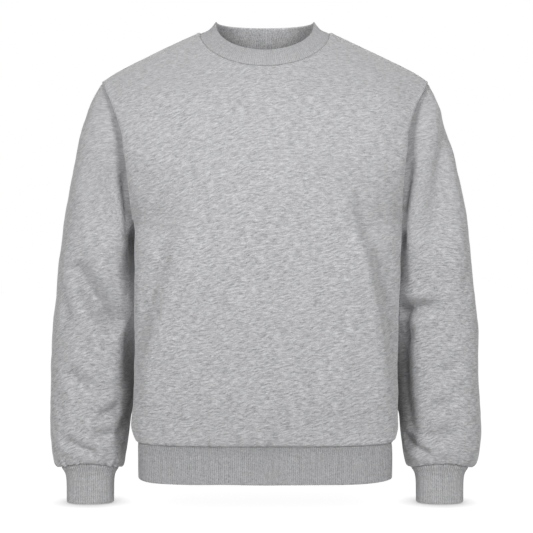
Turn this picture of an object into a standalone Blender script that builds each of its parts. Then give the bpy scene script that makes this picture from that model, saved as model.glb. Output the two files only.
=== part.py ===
"""Crewneck sweatshirt, filled out as if worn.

Eight sewn pieces, each a thin wall of its own: front, back, two set-in sleeves,
and the ribbed neck band, waistband and cuffs.

Frame: metres, +Z up, the front faces -Y, the wearer's left is +X. The origin is
the middle of the neck base, level with the neck ends of the two shoulder seams.
"""

import math

import bpy

for leftover in list(bpy.data.objects):
    bpy.data.objects.remove(leftover, do_unlink=True)

# ---------------------------------------------------------------- sizes

JERSEY = 0.0020          # wall of the brushed jersey
RIB = 0.0026             # wall of the doubled 1x1 rib
SEAM_GAP = 0.0003        # clear space between sewn pieces
SEAM_STRIP = 0.0030      # flat strip along the side and shoulder seams
POINT_GAP = 0.0013       # more space at the shoulder point, where walls lean in
ARMPIT_GAP = 0.0004      # and at the armpit

NECK_HALF = 0.0985       # centre to the neck end of a shoulder seam
FRONT_DROP = 0.0610      # neck seam below the origin at centre front
BACK_DROP = 0.0110       # and at centre back
SHOULDER_X = 0.2494      # shoulder point: shoulder seam meets sleeve
SHOULDER_Z = -0.0765
SHOULDER_DROOP = 0.10    # share of the shoulder seam's fall that comes at its end
UNDERARM_Z = -0.2890     # armpit: side seam meets sleeve
HEM_Z = -0.6210          # body meets the waistband
CROWN = 0.0200           # how far the shoulder line would rise inside the neck
ROUND = 0.1200           # height over which the shoulders round forward and back

# Body, by height. half_width is to the side seam (above the armpit, the plain
# torso that the armhole is cut from), front and back are depths at the middle,
# square is the section's superellipse exponent, fold is how far the front
# swells past its side edge, tuck how far the armhole edge sits in behind it.
BODY = (
    ("height", "half_width", "front", "back", "square", "fold", "tuck"),
    (0.000, 0.3000, 0.0630, 0.1020, 2.6, 0.0000, 0.0000),
    (-0.030, 0.2960, 0.0680, 0.1050, 2.6, 0.0000, 0.0000),
    (-0.061, 0.2880, 0.0755, 0.1085, 2.6, 0.0000, 0.0000),
    (-0.100, 0.2710, 0.0900, 0.1130, 2.6, 0.0010, 0.0020),
    (-0.140, 0.2515, 0.1045, 0.1165, 2.6, 0.0050, 0.0070),
    (-0.180, 0.2315, 0.1145, 0.1180, 2.6, 0.0078, 0.0090),
    (-0.230, 0.2125, 0.1200, 0.1170, 2.5, 0.0085, 0.0080),
    (-0.289, 0.1950, 0.1215, 0.1140, 2.5, 0.0078, 0.0000),
    (-0.340, 0.1925, 0.1210, 0.1110, 2.6, 0.0100, 0.0000),
    (-0.420, 0.1920, 0.1180, 0.1070, 2.6, 0.0108, 0.0000),
    (-0.500, 0.1925, 0.1150, 0.1040, 2.7, 0.0104, 0.0000),
    (-0.560, 0.1945, 0.1120, 0.1020, 2.8, 0.0090, 0.0000),
    (-0.597, 0.1955, 0.1090, 0.1000, 3.0, 0.0066, 0.0000),
    (-0.611, 0.1940, 0.1045, 0.0965, 3.4, 0.0044, 0.0000),
    (-0.617, 0.1925, 0.0975, 0.0910, 3.7, 0.0030, 0.0000),
    (-0.621, 0.1900, 0.0840, 0.0800, 4.0, 0.0020, 0.0000),
)

# Armhole seam seen from the front: distance from centre, by height.
ARMHOLE = (
    ("height", "front_x", "back_x"),
    (-0.0765, 0.2494, 0.2494),
    (-0.0950, 0.2395, 0.2415),
    (-0.1250, 0.2235, 0.2290),
    (-0.1710, 0.2035, 0.2125),
    (-0.2170, 0.1955, 0.2025),
    (-0.2550, 0.1940, 0.1970),
    (-0.2890, 0.1950, 0.1950),
)

# Sleeve sections from armhole to cuff seam: outer and inner point, the depth
# position of the middle, half-depths to front and back, and how much higher
# the section's front and back are than its two sides.
SLEEVE = (
    ("out_x", "out_z", "in_x", "in_z", "mid_y", "front", "back", "lift"),
    (0.2494, -0.0765, 0.1950, -0.2890, 0.000, 0.0620, 0.0620, 0.000),
    (0.2610, -0.0975, 0.1970, -0.2925, 0.001, 0.0640, 0.0650, 0.000),
    (0.2725, -0.1300, 0.1984, -0.2975, 0.005, 0.0670, 0.0690, 0.000),
    (0.2860, -0.1760, 0.1993, -0.3060, 0.012, 0.0690, 0.0720, 0.000),
    (0.2998, -0.2380, 0.2000, -0.3200, 0.021, 0.0700, 0.0725, 0.000),
    (0.3148, -0.3250, 0.2005, -0.3520, 0.030, 0.0690, 0.0700, 0.000),
    (0.3235, -0.3950, 0.2010, -0.4060, 0.036, 0.0660, 0.0660, 0.000),
    (0.3298, -0.4650, 0.2020, -0.4700, 0.038, 0.0620, 0.0620, 0.000),
    (0.3328, -0.5400, 0.2052, -0.5400, 0.035, 0.0570, 0.0570, 0.000),
    (0.3328, -0.6000, 0.2100, -0.6000, 0.029, 0.0530, 0.0530, 0.003),
    (0.3305, -0.6300, 0.2132, -0.6300, 0.024, 0.0500, 0.0500, 0.006),
    (0.3280, -0.6500, 0.2158, -0.6500, 0.022, 0.0465, 0.0465, 0.008),
    (0.3235, -0.6620, 0.2190, -0.6620, 0.021, 0.0425, 0.0425, 0.009),
    (0.3152, -0.6665, 0.2245, -0.6665, 0.020, 0.0380, 0.0380, 0.009),
)

# Cuff sections below the sleeve's last one, same meaning.
CUFF = (
    ("out_x", "out_z", "in_x", "in_z", "mid_y", "front", "back", "lift"),
    (0.3152, -0.6665, 0.2245, -0.6665, 0.020, 0.0380, 0.0380, 0.009),
    (0.3105, -0.6715, 0.2290, -0.6715, 0.019, 0.0325, 0.0325, 0.007),
    (0.3072, -0.6800, 0.2323, -0.6800, 0.019, 0.0275, 0.0275, 0.003),
    (0.3062, -0.6930, 0.2333, -0.6930, 0.019, 0.0255, 0.0255, 0.000),
    (0.3060, -0.7195, 0.2335, -0.7195, 0.019, 0.0250, 0.0250, 0.000),
)

# Waistband sections, top to bottom.
WAISTBAND = (
    ("height", "half_width", "front", "back", "square"),
    (-0.6210, 0.1900, 0.0840, 0.0800, 4.0),
    (-0.6260, 0.1893, 0.0815, 0.0780, 4.2),
    (-0.6390, 0.1900, 0.0810, 0.0775, 4.4),
    (-0.6580, 0.1903, 0.0812, 0.0778, 4.5),
    (-0.6760, 0.1898, 0.0808, 0.0774, 4.5),
)

# Neck band: the free top edge, which the neck seam is lofted to.
BAND_TOP_HALF = 0.0750   # half-width of the opening
BAND_TOP_FRONT = 0.0580  # depth of the opening's front edge
BAND_TOP_BACK = 0.0580   # and of its back edge
BAND_SIDE_Z = 0.0170     # height of the edge at the shoulders
BAND_FRONT_Z = -0.0350   # at centre front
BAND_BACK_Z = 0.0185     # at centre back
BAND_SWELL = 0.0018      # how far the band's middle stands proud in front and behind
BAND_HOLLOW = 0.0032     # and how far it sinks in over the shoulders

COLUMNS = 11             # body columns from centre to side, before the strip
ARM_STEPS = 10           # armhole steps from armpit to shoulder, each side
LOWER_ROWS = (-0.621, -0.617, -0.610, -0.597, -0.570, -0.520, -0.460, -0.400, -0.340)
UPPER_ROWS = (-0.0735, -0.0550, -0.0340, -0.0150, 0.0)

# Which sections of the sleeve loft become rings, by table row.
SLEEVE_RINGS = (0, 0.5, 1, 2, 3, 4, 5, 6, 7, 8, 9, 10, 11, 12, 13)

SWEATSHIRT_GREY = (0.505, 0.505, 0.520, 1.0)
RIB_GREY = (0.415, 0.415, 0.430, 1.0)


# ---------------------------------------------------------------- curves

def column(table, name):
    """One named column of a table."""
    place = table[0].index(name)
    return [row[place] for row in table[1:]]


def smooth(xs, ys, x):
    """A curve through the points that never overshoots them."""
    if xs[0] > xs[-1]:
        xs, ys = xs[::-1], ys[::-1]
    if x <= xs[0]:
        return ys[0]
    if x >= xs[-1]:
        return ys[-1]
    steps = [xs[i + 1] - xs[i] for i in range(len(xs) - 1)]
    slopes = [(ys[i + 1] - ys[i]) / steps[i] for i in range(len(steps))]

    def tangent(i):
        if i == 0 or i == len(xs) - 1:
            return slopes[0] if i == 0 else slopes[-1]
        a, b = slopes[i - 1], slopes[i]
        if a * b <= 0:
            return 0.0
        w1, w2 = 2 * steps[i] + steps[i - 1], steps[i] + 2 * steps[i - 1]
        return (w1 + w2) / (w1 / a + w2 / b)

    i = max(k for k in range(len(steps)) if xs[k] <= x)
    h, t = steps[i], (x - xs[i]) / steps[i]
    return (
        ys[i] * (1 + 2 * t) * (1 - t) ** 2
        + h * tangent(i) * t * (1 - t) ** 2
        + ys[i + 1] * t * t * (3 - 2 * t)
        + h * tangent(i + 1) * t * t * (t - 1)
    )


def at(table, name, height):
    """A table's column at a height."""
    return smooth(column(table, "height"), column(table, name), height)


def along(table, name, row):
    """A table's column at a place between its rows, counted from 0."""
    values = column(table, name)
    return smooth(list(range(len(values))), values, row)


# ---------------------------------------------------------------- the body

def shoulder_fall(u):
    """Share of the shoulder's fall at a share of its width."""
    return (1 - SHOULDER_DROOP) * u + SHOULDER_DROOP * u ** 5


def shoulder_x(z):
    """Shoulder seam: distance from centre at a height."""
    low, high = 0.0, 1.0
    for _ in range(50):
        mid = (low + high) / 2
        if shoulder_fall(mid) * SHOULDER_Z > z:
            low = mid
        else:
            high = mid
    u = 0.0 if z >= 0.0 else (1.0 if z <= SHOULDER_Z else low)
    return NECK_HALF + (SHOULDER_X - NECK_HALF) * u


def shoulder_z(x):
    """Height of the shoulder line above a distance from centre."""
    if x < NECK_HALF:
        return CROWN * (1 - (x / NECK_HALF) ** 2)
    return SHOULDER_Z * shoulder_fall((x - NECK_HALF) / (SHOULDER_X - NECK_HALF))


def edge_x(z, side):
    """The panel's own edge: side seam, then armhole, then shoulder seam."""
    if z <= UNDERARM_Z:
        return at(BODY, "half_width", z)
    if z < SHOULDER_Z:
        return at(ARMHOLE, side + "_x", z)
    return shoulder_x(z)


def depth(x, z, side):
    """Distance of the torso's surface from the plane of the seams."""
    n = at(BODY, "square", z)
    across = min(abs(x) / at(BODY, "half_width", z), 1.0)
    fall = min(max((shoulder_z(abs(x)) - z) / ROUND, 0.0), 1.0)
    return (
        at(BODY, side, z)
        * (1 - across ** n) ** (1 / n)
        * math.sqrt(1 - (1 - fall) ** 2)
    )


def neck_x(z, side):
    """The neck seam: distance from centre at a height."""
    drop = FRONT_DROP if side == "front" else BACK_DROP
    return NECK_HALF * math.sqrt(max(0.0, 1 - (z / drop) ** 2))


def share(k):
    """How far from centre to edge a body column lies."""
    if k >= COLUMNS:
        return 1.0
    return math.sin(math.radians(90.0 * k / COLUMNS))


def top_z(k, side):
    """Height at which a column meets the neck seam."""
    if k >= COLUMNS:
        return 0.0
    low, high = (-FRONT_DROP if side == "front" else -BACK_DROP), 0.0
    for _ in range(60):
        mid = (low + high) / 2
        if shoulder_x(mid) * share(k) > neck_x(mid, side):
            low = mid
        else:
            high = mid
    return low


def row_heights():
    """Heights of the edge column's points, hem to neck."""
    middle, half = (UNDERARM_Z + SHOULDER_Z) / 2, (SHOULDER_Z - UNDERARM_Z) / 2
    arm = [
        middle - half * math.cos(math.pi * i / ARM_STEPS)
        for i in range(ARM_STEPS + 1)
    ]
    arm[0], arm[-1] = UNDERARM_Z, SHOULDER_Z
    return list(LOWER_ROWS) + arm + list(UPPER_ROWS)


def panel_point(k, row_z, side, sign):
    """A point of the front or back: column k, 0 at centre, on a row."""
    forward = -1 if side == "front" else 1
    top = top_z(k, side)
    z = HEM_Z + (row_z - HEM_Z) * (top - HEM_Z) / (0.0 - HEM_Z)
    on_armhole = UNDERARM_Z < row_z < SHOULDER_Z
    s = share(k)
    if k == COLUMNS and on_armhole:
        s = 1 - 0.0035 / edge_x(z, side)
    x = edge_x(z, side) * s
    y = depth(x, z, side)
    # The front swells past its edge and the armhole edge tucks in behind it.
    angle = min(k, COLUMNS) / COLUMNS
    if k < COLUMNS and angle > 0.45:
        swell = math.sin(math.pi * ((angle - 0.45) / 0.55) ** 1.8)
        x += at(BODY, "fold", z) * swell * (1.0 if side == "front" else 0.25)
    tuck = {COLUMNS + 1: 1.0, COLUMNS: 0.72, COLUMNS - 1: 0.30}.get(k, 0.0)
    y -= at(BODY, "tuck", z) * tuck * (1.0 if side == "front" else 0.5)
    if k <= COLUMNS:
        y += 0.0 if (k == COLUMNS and on_armhole) else SEAM_STRIP
    if k > COLUMNS:
        y += {SHOULDER_Z: POINT_GAP, UNDERARM_Z: ARMPIT_GAP}.get(row_z, 0.0)
    return (sign * x, forward * (max(y, 0.0) + SEAM_GAP / 2), z)


def panel_grid(side):
    """The panel's points, rows from hem to neck, columns from -X to +X."""
    columns = [(k, -1) for k in range(COLUMNS + 1, 0, -1)]
    columns += [(0, 1)] + [(k, 1) for k in range(1, COLUMNS + 2)]
    return [
        [panel_point(k, z, side, sign) for k, sign in columns]
        for z in row_heights()
    ]


# ---------------------------------------------------------------- rings

def section(table, row, steps):
    """One closed section of a sleeve or cuff on the +X side.

    It starts at the outer point and goes by the front, the inner point and
    the back.
    """
    v = {name: along(table, name, row) for name in table[0]}
    middle = ((v["out_x"] + v["in_x"]) / 2, (v["out_z"] + v["in_z"]) / 2)
    half = ((v["out_x"] - v["in_x"]) / 2, (v["out_z"] - v["in_z"]) / 2)
    points = []
    for i in range(steps):
        turn = 2 * math.pi * i / steps
        c, s = math.cos(turn), math.sin(turn)
        points.append((
            middle[0] + half[0] * c,
            v["mid_y"] - (v["front"] if s > 0 else v["back"]) * s,
            middle[1] + half[1] * c + v["lift"] * s * s,
        ))
    return points


def armhole_ring(front, back):
    """The armhole seam on the +X side, as the panels' own edge points."""
    first = len(LOWER_ROWS)
    rows = range(first, first + ARM_STEPS + 1)
    down = [front[r][-1] for r in rows][::-1]
    up = [back[r][-1] for r in rows]
    ring = down + up[1:-1]
    for i in (0, ARM_STEPS):
        ring[i] = (ring[i][0], 0.0, ring[i][2])
    return ring


def moved(point, towards, distance):
    """A point moved a distance towards another."""
    d = [b - a for a, b in zip(point, towards)]
    length = math.sqrt(sum(c * c for c in d))
    return tuple(a + c * distance / length for a, c in zip(point, d))


def sleeve_rings(front, back):
    """Rings of the +X sleeve, from the armhole to the cuff seam."""
    steps = 2 * ARM_STEPS
    seam = armhole_ring(front, back)
    plain = section(SLEEVE, 0, steps)
    rings = []
    for row in SLEEVE_RINGS:
        keep = max(0.0, 1 - row / 3.0) ** 2
        rings.append([
            tuple(p + keep * (a - b) for p, a, b in zip(point, s, q))
            for point, s, q in zip(section(SLEEVE, row, steps), seam, plain)
        ])
    # The sleeve starts clear of the panels, most at the shoulder, where the
    # two walls lean towards each other.
    for i in range(steps):
        lean = max(0.0, math.cos(2 * math.pi * i / steps)) ** 2
        rings[0][i] = moved(rings[0][i], rings[2][i], SEAM_GAP + 0.0004 + 0.0016 * lean)
        rings[1][i] = tuple((a + b) / 2 for a, b in zip(rings[0][i], rings[2][i]))
    return rings


def cuff_rings():
    """Rings of the +X cuff, from its seam down."""
    rings = [section(CUFF, row, 2 * ARM_STEPS) for row in range(len(CUFF) - 1)]
    rings[0] = [moved(p, q, SEAM_GAP + 0.0002) for p, q in zip(rings[0], rings[1])]
    return rings


def waistband_rings(front, back):
    """Rings of the waistband, from the panels' bottom edges down."""
    left, right = front[0][0], front[0][-1]
    count = len(front[0])
    ring = (
        [(left[0], 0.0, left[2])] + list(front[0][1:-1])
        + [(right[0], 0.0, right[2])] + list(back[0][1:-1])[::-1]
    )
    start = {name: at(WAISTBAND, name, HEM_Z) for name in WAISTBAND[0]}
    rings = []
    for height in column(WAISTBAND, "height"):
        v = {name: at(WAISTBAND, name, height) for name in WAISTBAND[0]}
        points = []
        for index, (x, y, z) in enumerate(ring):
            side = "front" if index <= count - 1 else "back"
            k = abs(index % (count - 1) - (count - 1) // 2)
            s = min(share(k), 1.0)
            fall = (1 - s ** v["square"]) ** (1 / v["square"]) if s < 1 else 0.0
            base = (1 - s ** start["square"]) ** (1 / start["square"]) if s < 1 else 0.0
            scale = v["half_width"] / start["half_width"]
            forward = -1 if side == "front" else 1
            points.append((
                x * scale,
                y + forward * (v[side] * fall - start[side] * base),
                height,
            ))
        rings.append(points)
    rings[0] = [(x, y, z - SEAM_GAP) for x, y, z in rings[0]]
    return rings


def neck_rings(front, back):
    """Rings of the neck band, from the neck seam to its free edge."""
    left, right = front[-1][0], front[-1][-1]
    ring = (
        [(left[0], 0.0, left[2])] + list(front[-1][1:-1])
        + [(right[0], 0.0, right[2])] + list(back[-1][1:-1])[::-1]
    )
    front_y, back_y = front[-1][COLUMNS + 1][1], back[-1][COLUMNS + 1][1]
    low, high, proud = [], [], []
    for x, y, z in ring:
        turn = math.atan2(y / (back_y if y > 0 else -front_y), x / NECK_HALF)
        c, s = math.cos(turn), math.sin(turn)
        reach = BAND_TOP_BACK if s > 0 else BAND_TOP_FRONT
        end_z = BAND_BACK_Z if s > 0 else BAND_FRONT_Z
        ease = abs(s) ** (1.6 if s > 0 else 0.95)
        high.append((
            BAND_TOP_HALF * c,
            reach * s,
            BAND_SIDE_Z * (1 - ease) + end_z * ease,
        ))
        low.append((x, y, z))
        proud.append(BAND_SWELL * s * s - BAND_HOLLOW * c ** 6)
    rings = []
    for share_up in (0.0, 0.34, 0.68, 1.0):
        points = []
        for a, b, most in zip(low, high, proud):
            swell = most * 4 * share_up * (1 - share_up)
            p = [u + (v - u) * share_up for u, v in zip(a, b)]
            out = math.hypot(p[0], p[1])
            p[0] += swell * p[0] / out * 0.7
            p[1] += swell * p[1] / out * 0.7
            p[2] += swell * 0.6
            points.append(tuple(p))
        rings.append(points)
    rings[0] = [
        moved(p, q, SEAM_GAP + (0.0011 if p[1] < 0 else 0.0003))
        for p, q in zip(rings[0], rings[1])
    ]
    return rings


# ---------------------------------------------------------------- making

wardrobe = bpy.data.collections.new("crewneck_sweatshirt")
bpy.context.scene.collection.children.link(wardrobe)


def cloth(name, color, roughness):
    """A plain matte cloth for one piece."""
    material = bpy.data.materials.new(name)
    material.use_nodes = True
    shader = material.node_tree.nodes["Principled BSDF"]
    shader.inputs["Base Color"].default_value = color
    shader.inputs["Roughness"].default_value = roughness
    shader.inputs["Metallic"].default_value = 0.0
    return material


def piece(name, points, faces, wall, color):
    """A sewn piece: its outer surface, thickened inwards to its wall."""
    mesh = bpy.data.meshes.new(name)
    mesh.from_pydata(points, [], faces)
    mesh.validate()
    mesh.shade_smooth()
    made = bpy.data.objects.new(name, mesh)
    wardrobe.objects.link(made)
    made.data.materials.append(cloth(name, color, 0.92))
    thick = made.modifiers.new("wall", "SOLIDIFY")
    thick.thickness = wall
    thick.offset = -1.0
    thick.use_even_offset = True
    thick.use_quality_normals = True
    return made


def panel(name, grid, outward, wall, color):
    """A piece with four edges, from rows of points."""
    wide = len(grid[0])
    points = [p for row in grid for p in row]
    faces = []
    for r in range(len(grid) - 1):
        for c in range(wide - 1):
            a = r * wide + c
            face = (a, a + 1, a + 1 + wide, a + wide)
            faces.append(face if outward < 0 else face[::-1])
    return piece(name, points, faces, wall, color)


def tube(name, rings, wall, color, flip=False):
    """A piece closed round, from rings of points."""
    count = len(rings[0])
    points = [p for ring in rings for p in ring]
    faces = []
    for r in range(len(rings) - 1):
        for i in range(count):
            j = (i + 1) % count
            face = (r * count + i, (r + 1) * count + i,
                    (r + 1) * count + j, r * count + j)
            faces.append(face[::-1] if flip else face)
    return piece(name, points, faces, wall, color)


def mirrored(rings):
    """The same rings on the wearer's other side."""
    return [[(-x, y, z) for x, y, z in ring] for ring in rings]


front_grid = panel_grid("front")
back_grid = panel_grid("back")

panel("front_panel", front_grid, -1, JERSEY, SWEATSHIRT_GREY)
panel("back_panel", back_grid, 1, JERSEY, SWEATSHIRT_GREY)

arm = sleeve_rings(front_grid, back_grid)
tube("sleeve_left", arm, JERSEY, SWEATSHIRT_GREY, flip=True)
tube("sleeve_right", mirrored(arm), JERSEY, SWEATSHIRT_GREY)

wrist = cuff_rings()
tube("cuff_left", wrist, RIB, RIB_GREY, flip=True)
tube("cuff_right", mirrored(wrist), RIB, RIB_GREY)

tube("hem_rib", waistband_rings(front_grid, back_grid), RIB, RIB_GREY)
tube("neck_rib", neck_rings(front_grid, back_grid), RIB, RIB_GREY, flip=True)
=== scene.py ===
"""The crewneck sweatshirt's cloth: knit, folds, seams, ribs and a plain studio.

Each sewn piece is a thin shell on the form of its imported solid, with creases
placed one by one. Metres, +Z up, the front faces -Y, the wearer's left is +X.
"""

import math

import bpy
import numpy as np
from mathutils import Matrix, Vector


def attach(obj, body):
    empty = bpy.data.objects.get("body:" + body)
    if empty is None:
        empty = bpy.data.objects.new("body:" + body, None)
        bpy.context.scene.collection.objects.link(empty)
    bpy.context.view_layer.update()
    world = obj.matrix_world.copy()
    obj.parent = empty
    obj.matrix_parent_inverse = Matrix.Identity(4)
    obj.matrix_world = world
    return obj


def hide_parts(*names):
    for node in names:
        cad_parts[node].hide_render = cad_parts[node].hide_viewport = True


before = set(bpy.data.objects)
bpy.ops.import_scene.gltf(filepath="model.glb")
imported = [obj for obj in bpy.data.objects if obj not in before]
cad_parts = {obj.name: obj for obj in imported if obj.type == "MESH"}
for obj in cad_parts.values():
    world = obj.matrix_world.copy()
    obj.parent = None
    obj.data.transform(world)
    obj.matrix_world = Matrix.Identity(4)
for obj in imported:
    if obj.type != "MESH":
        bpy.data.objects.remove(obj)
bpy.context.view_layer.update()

# ------------------------------------------------------------------ sizes

JERSEY = 0.0018          # thickness of the fleece jersey
RIB = 0.0026             # thickness of the doubled rib
SEAM_STRIP = 0.0030      # strip along the side and shoulder seams
NECK_HALF = 0.0985       # centre to the neck end of a shoulder seam
FRONT_DROP = 0.0610      # neck seam below the origin at centre front
BACK_DROP = 0.0110       # and at centre back
SHOULDER_X = 0.2494      # shoulder point
SHOULDER_Z = -0.0765
SHOULDER_DROOP = 0.10
UNDERARM_Z = -0.2890     # armpit
HEM_Z = -0.6190          # body meets the waistband
CROWN = 0.0200
ROUND = 0.1200
BAND_TOP_HALF = 0.0750   # neck band's free edge
BAND_TOP_DEPTH = 0.0580
BAND_SIDE_Z = 0.0170
BAND_FRONT_Z = -0.0350
BAND_BACK_Z = 0.0185
COLUMNS = 11

BODY = (
    ("height", "half_width", "front", "back", "square", "fold", "tuck"),
    (0.000, 0.3000, 0.0630, 0.1020, 2.6, 0.0000, 0.0000),
    (-0.030, 0.2960, 0.0680, 0.1050, 2.6, 0.0000, 0.0000),
    (-0.061, 0.2880, 0.0755, 0.1085, 2.6, 0.0000, 0.0000),
    (-0.100, 0.2710, 0.0900, 0.1130, 2.6, 0.0010, 0.0020),
    (-0.140, 0.2515, 0.1045, 0.1165, 2.6, 0.0050, 0.0070),
    (-0.180, 0.2315, 0.1145, 0.1180, 2.6, 0.0078, 0.0090),
    (-0.230, 0.2125, 0.1200, 0.1170, 2.5, 0.0085, 0.0080),
    (-0.289, 0.1950, 0.1215, 0.1140, 2.5, 0.0078, 0.0000),
    (-0.340, 0.1925, 0.1210, 0.1110, 2.6, 0.0100, 0.0000),
    (-0.420, 0.1920, 0.1170, 0.1070, 2.6, 0.0108, 0.0000),
    (-0.500, 0.1925, 0.1125, 0.1035, 2.7, 0.0104, 0.0000),
    (-0.560, 0.1945, 0.1080, 0.1005, 2.8, 0.0090, 0.0000),
    (-0.590, 0.1955, 0.1040, 0.0980, 3.0, 0.0068, 0.0000),
    (-0.604, 0.1945, 0.1024, 0.0962, 3.2, 0.0050, 0.0000),
    (-0.6140, 0.1920, 0.1006, 0.0942, 3.6, 0.0036, 0.0000),
    (-0.6172, 0.1905, 0.0993, 0.0928, 3.9, 0.0026, 0.0000),
    (-0.6185, 0.1893, 0.0978, 0.0912, 4.0, 0.0022, 0.0000),
    (-0.6190, 0.1883, 0.0957, 0.0891, 4.0, 0.0020, 0.0000),
)

ARMHOLE = (
    ("height", "front_x", "back_x"),
    (-0.0765, 0.2494, 0.2494),
    (-0.0950, 0.2395, 0.2415),
    (-0.1250, 0.2235, 0.2290),
    (-0.1710, 0.2035, 0.2125),
    (-0.2170, 0.1955, 0.2025),
    (-0.2550, 0.1940, 0.1970),
    (-0.2890, 0.1950, 0.1950),
)

# Sleeve and cuff sections: outer and inner point, middle, half-depths to the
# front and back, and how much higher the section is between its two sides.
SLEEVE = (
    ("out_x", "out_z", "in_x", "in_z", "mid_y", "front", "back", "lift"),
    (0.2494, -0.0765, 0.1950, -0.2890, 0.000, 0.0620, 0.0620, 0.000),
    (0.2610, -0.0975, 0.1970, -0.2925, 0.001, 0.0640, 0.0650, 0.000),
    (0.2725, -0.1300, 0.1984, -0.2975, 0.005, 0.0670, 0.0690, 0.000),
    (0.2860, -0.1760, 0.1993, -0.3060, 0.012, 0.0690, 0.0720, 0.000),
    (0.2998, -0.2380, 0.2000, -0.3200, 0.021, 0.0700, 0.0725, 0.000),
    (0.3148, -0.3250, 0.2005, -0.3520, 0.030, 0.0690, 0.0700, 0.000),
    (0.3235, -0.3950, 0.2010, -0.4060, 0.036, 0.0660, 0.0660, 0.000),
    (0.3298, -0.4650, 0.2020, -0.4700, 0.038, 0.0620, 0.0620, 0.000),
    (0.3328, -0.5400, 0.2052, -0.5400, 0.035, 0.0570, 0.0570, 0.000),
    (0.3328, -0.6000, 0.2100, -0.6000, 0.029, 0.0530, 0.0530, 0.003),
    (0.3305, -0.6300, 0.2132, -0.6300, 0.024, 0.0500, 0.0500, 0.006),
    (0.3280, -0.6500, 0.2158, -0.6500, 0.022, 0.0465, 0.0465, 0.008),
    (0.3235, -0.6620, 0.2190, -0.6620, 0.021, 0.0425, 0.0425, 0.009),
    (0.3152, -0.6665, 0.2245, -0.6665, 0.020, 0.0380, 0.0380, 0.009),
)
CUFF = (
    ("out_x", "out_z", "in_x", "in_z", "mid_y", "front", "back", "lift"),
    (0.3152, -0.6665, 0.2245, -0.6665, 0.020, 0.0380, 0.0380, 0.009),
    (0.3105, -0.6715, 0.2290, -0.6715, 0.019, 0.0325, 0.0325, 0.007),
    (0.3072, -0.6800, 0.2323, -0.6800, 0.019, 0.0275, 0.0275, 0.003),
    (0.3062, -0.6930, 0.2333, -0.6930, 0.019, 0.0255, 0.0255, 0.000),
    (0.3060, -0.7195, 0.2335, -0.7195, 0.019, 0.0250, 0.0250, 0.000),
)
WAISTBAND = (
    ("height", "half_width", "front", "back", "square"),
    (-0.6190, 0.1883, 0.0957, 0.0891, 4.0),
    (-0.6225, 0.1884, 0.0945, 0.0879, 4.0),
    (-0.6350, 0.1885, 0.0914, 0.0846, 4.0),
    (-0.6560, 0.1885, 0.0910, 0.0836, 3.9),
    (-0.6760, 0.1883, 0.0928, 0.0836, 3.6),
)

# ----------------------------------------------------------------- curves


def through(xs, ys, x):
    """A smooth curve through the points that never overshoots them."""
    xs, ys = np.asarray(xs, float), np.asarray(ys, float)
    h = np.diff(xs)
    d = np.diff(ys) / h
    m = np.zeros(len(xs))
    m[0], m[-1] = d[0], d[-1]
    for i in range(1, len(xs) - 1):
        if d[i - 1] * d[i] > 0:
            w1, w2 = 2 * h[i] + h[i - 1], h[i] + 2 * h[i - 1]
            m[i] = (w1 + w2) / (w1 / d[i - 1] + w2 / d[i])
    x = np.clip(x, xs[0], xs[-1])
    i = np.clip(np.searchsorted(xs, x, side="right") - 1, 0, len(h) - 1)
    t = (x - xs[i]) / h[i]
    return (
        ys[i] * (1 + 2 * t) * (1 - t) ** 2
        + h[i] * m[i] * t * (1 - t) ** 2
        + ys[i + 1] * t * t * (3 - 2 * t)
        + h[i] * m[i + 1] * t * t * (t - 1)
    )


def softened(values, spread):
    """A row of values blurred over spread samples, its ends held."""
    reach = int(4 * spread)
    kernel = np.exp(-0.5 * (np.arange(-reach, reach + 1) / spread) ** 2)
    before = 2 * values[0] - values[reach:0:-1]
    after = 2 * values[-1] - values[-2:-reach - 2:-1]
    return np.convolve(
        np.concatenate([before, values, after]), kernel / kernel.sum(), "valid"
    )


def ease(x):
    """0 to 1 with flat ends."""
    x = np.clip(x, 0, 1)
    return x * x * (3 - 2 * x)


class Table:
    """A table with named columns, read as smooth curves."""

    def __init__(self, rows, step, spread, by=None, crisp=None):
        names, data = rows[0], np.array(rows[1:], float)
        key = data[:, names.index(by)] if by else np.arange(len(data), dtype=float)
        if key[0] > key[-1]:
            key, data = key[::-1], data[::-1]
        self.x = np.linspace(key[0], key[-1], int(round((key[-1] - key[0]) / step)) + 1)
        self.curves = {
            n: softened(through(key, data[:, i], self.x), spread / step)
            for i, n in enumerate(names) if n != by
        }
        if crisp:
            # Less softening from this height down.
            keep = ease((self.x - crisp[0]) / 0.02)
            for i, n in enumerate(names):
                if n != by:
                    sharp = softened(through(key, data[:, i], self.x), crisp[1] / step)
                    self.curves[n] = self.curves[n] * keep + sharp * (1 - keep)

    def __call__(self, name, x):
        return np.interp(x, self.x, self.curves[name])


body = Table(BODY, 0.0005, 0.006, by="height", crisp=(-0.600, 0.0010))
armhole = Table(ARMHOLE, 0.0005, 0.006, by="height")
sleeve = Table(SLEEVE, 0.01, 0.30)
cuff = Table(CUFF, 0.01, 0.12)
waistband = Table(WAISTBAND, 0.0005, 0.0015, by="height")


def graded(count, spacing):
    """count places from 0 to 1 whose spacing follows spacing(place)."""
    x = np.linspace(0, 1, 4001)
    rho = 1 / spacing(x)
    c = np.concatenate([[0], np.cumsum((rho[1:] + rho[:-1]) / 2)])
    return np.interp(np.linspace(0, 1, count), c / c[-1], x)


def lengths(points):
    """Length along a line of points, from its first."""
    return np.concatenate([[0], np.cumsum(np.linalg.norm(np.diff(points, axis=0), axis=1))])


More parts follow.
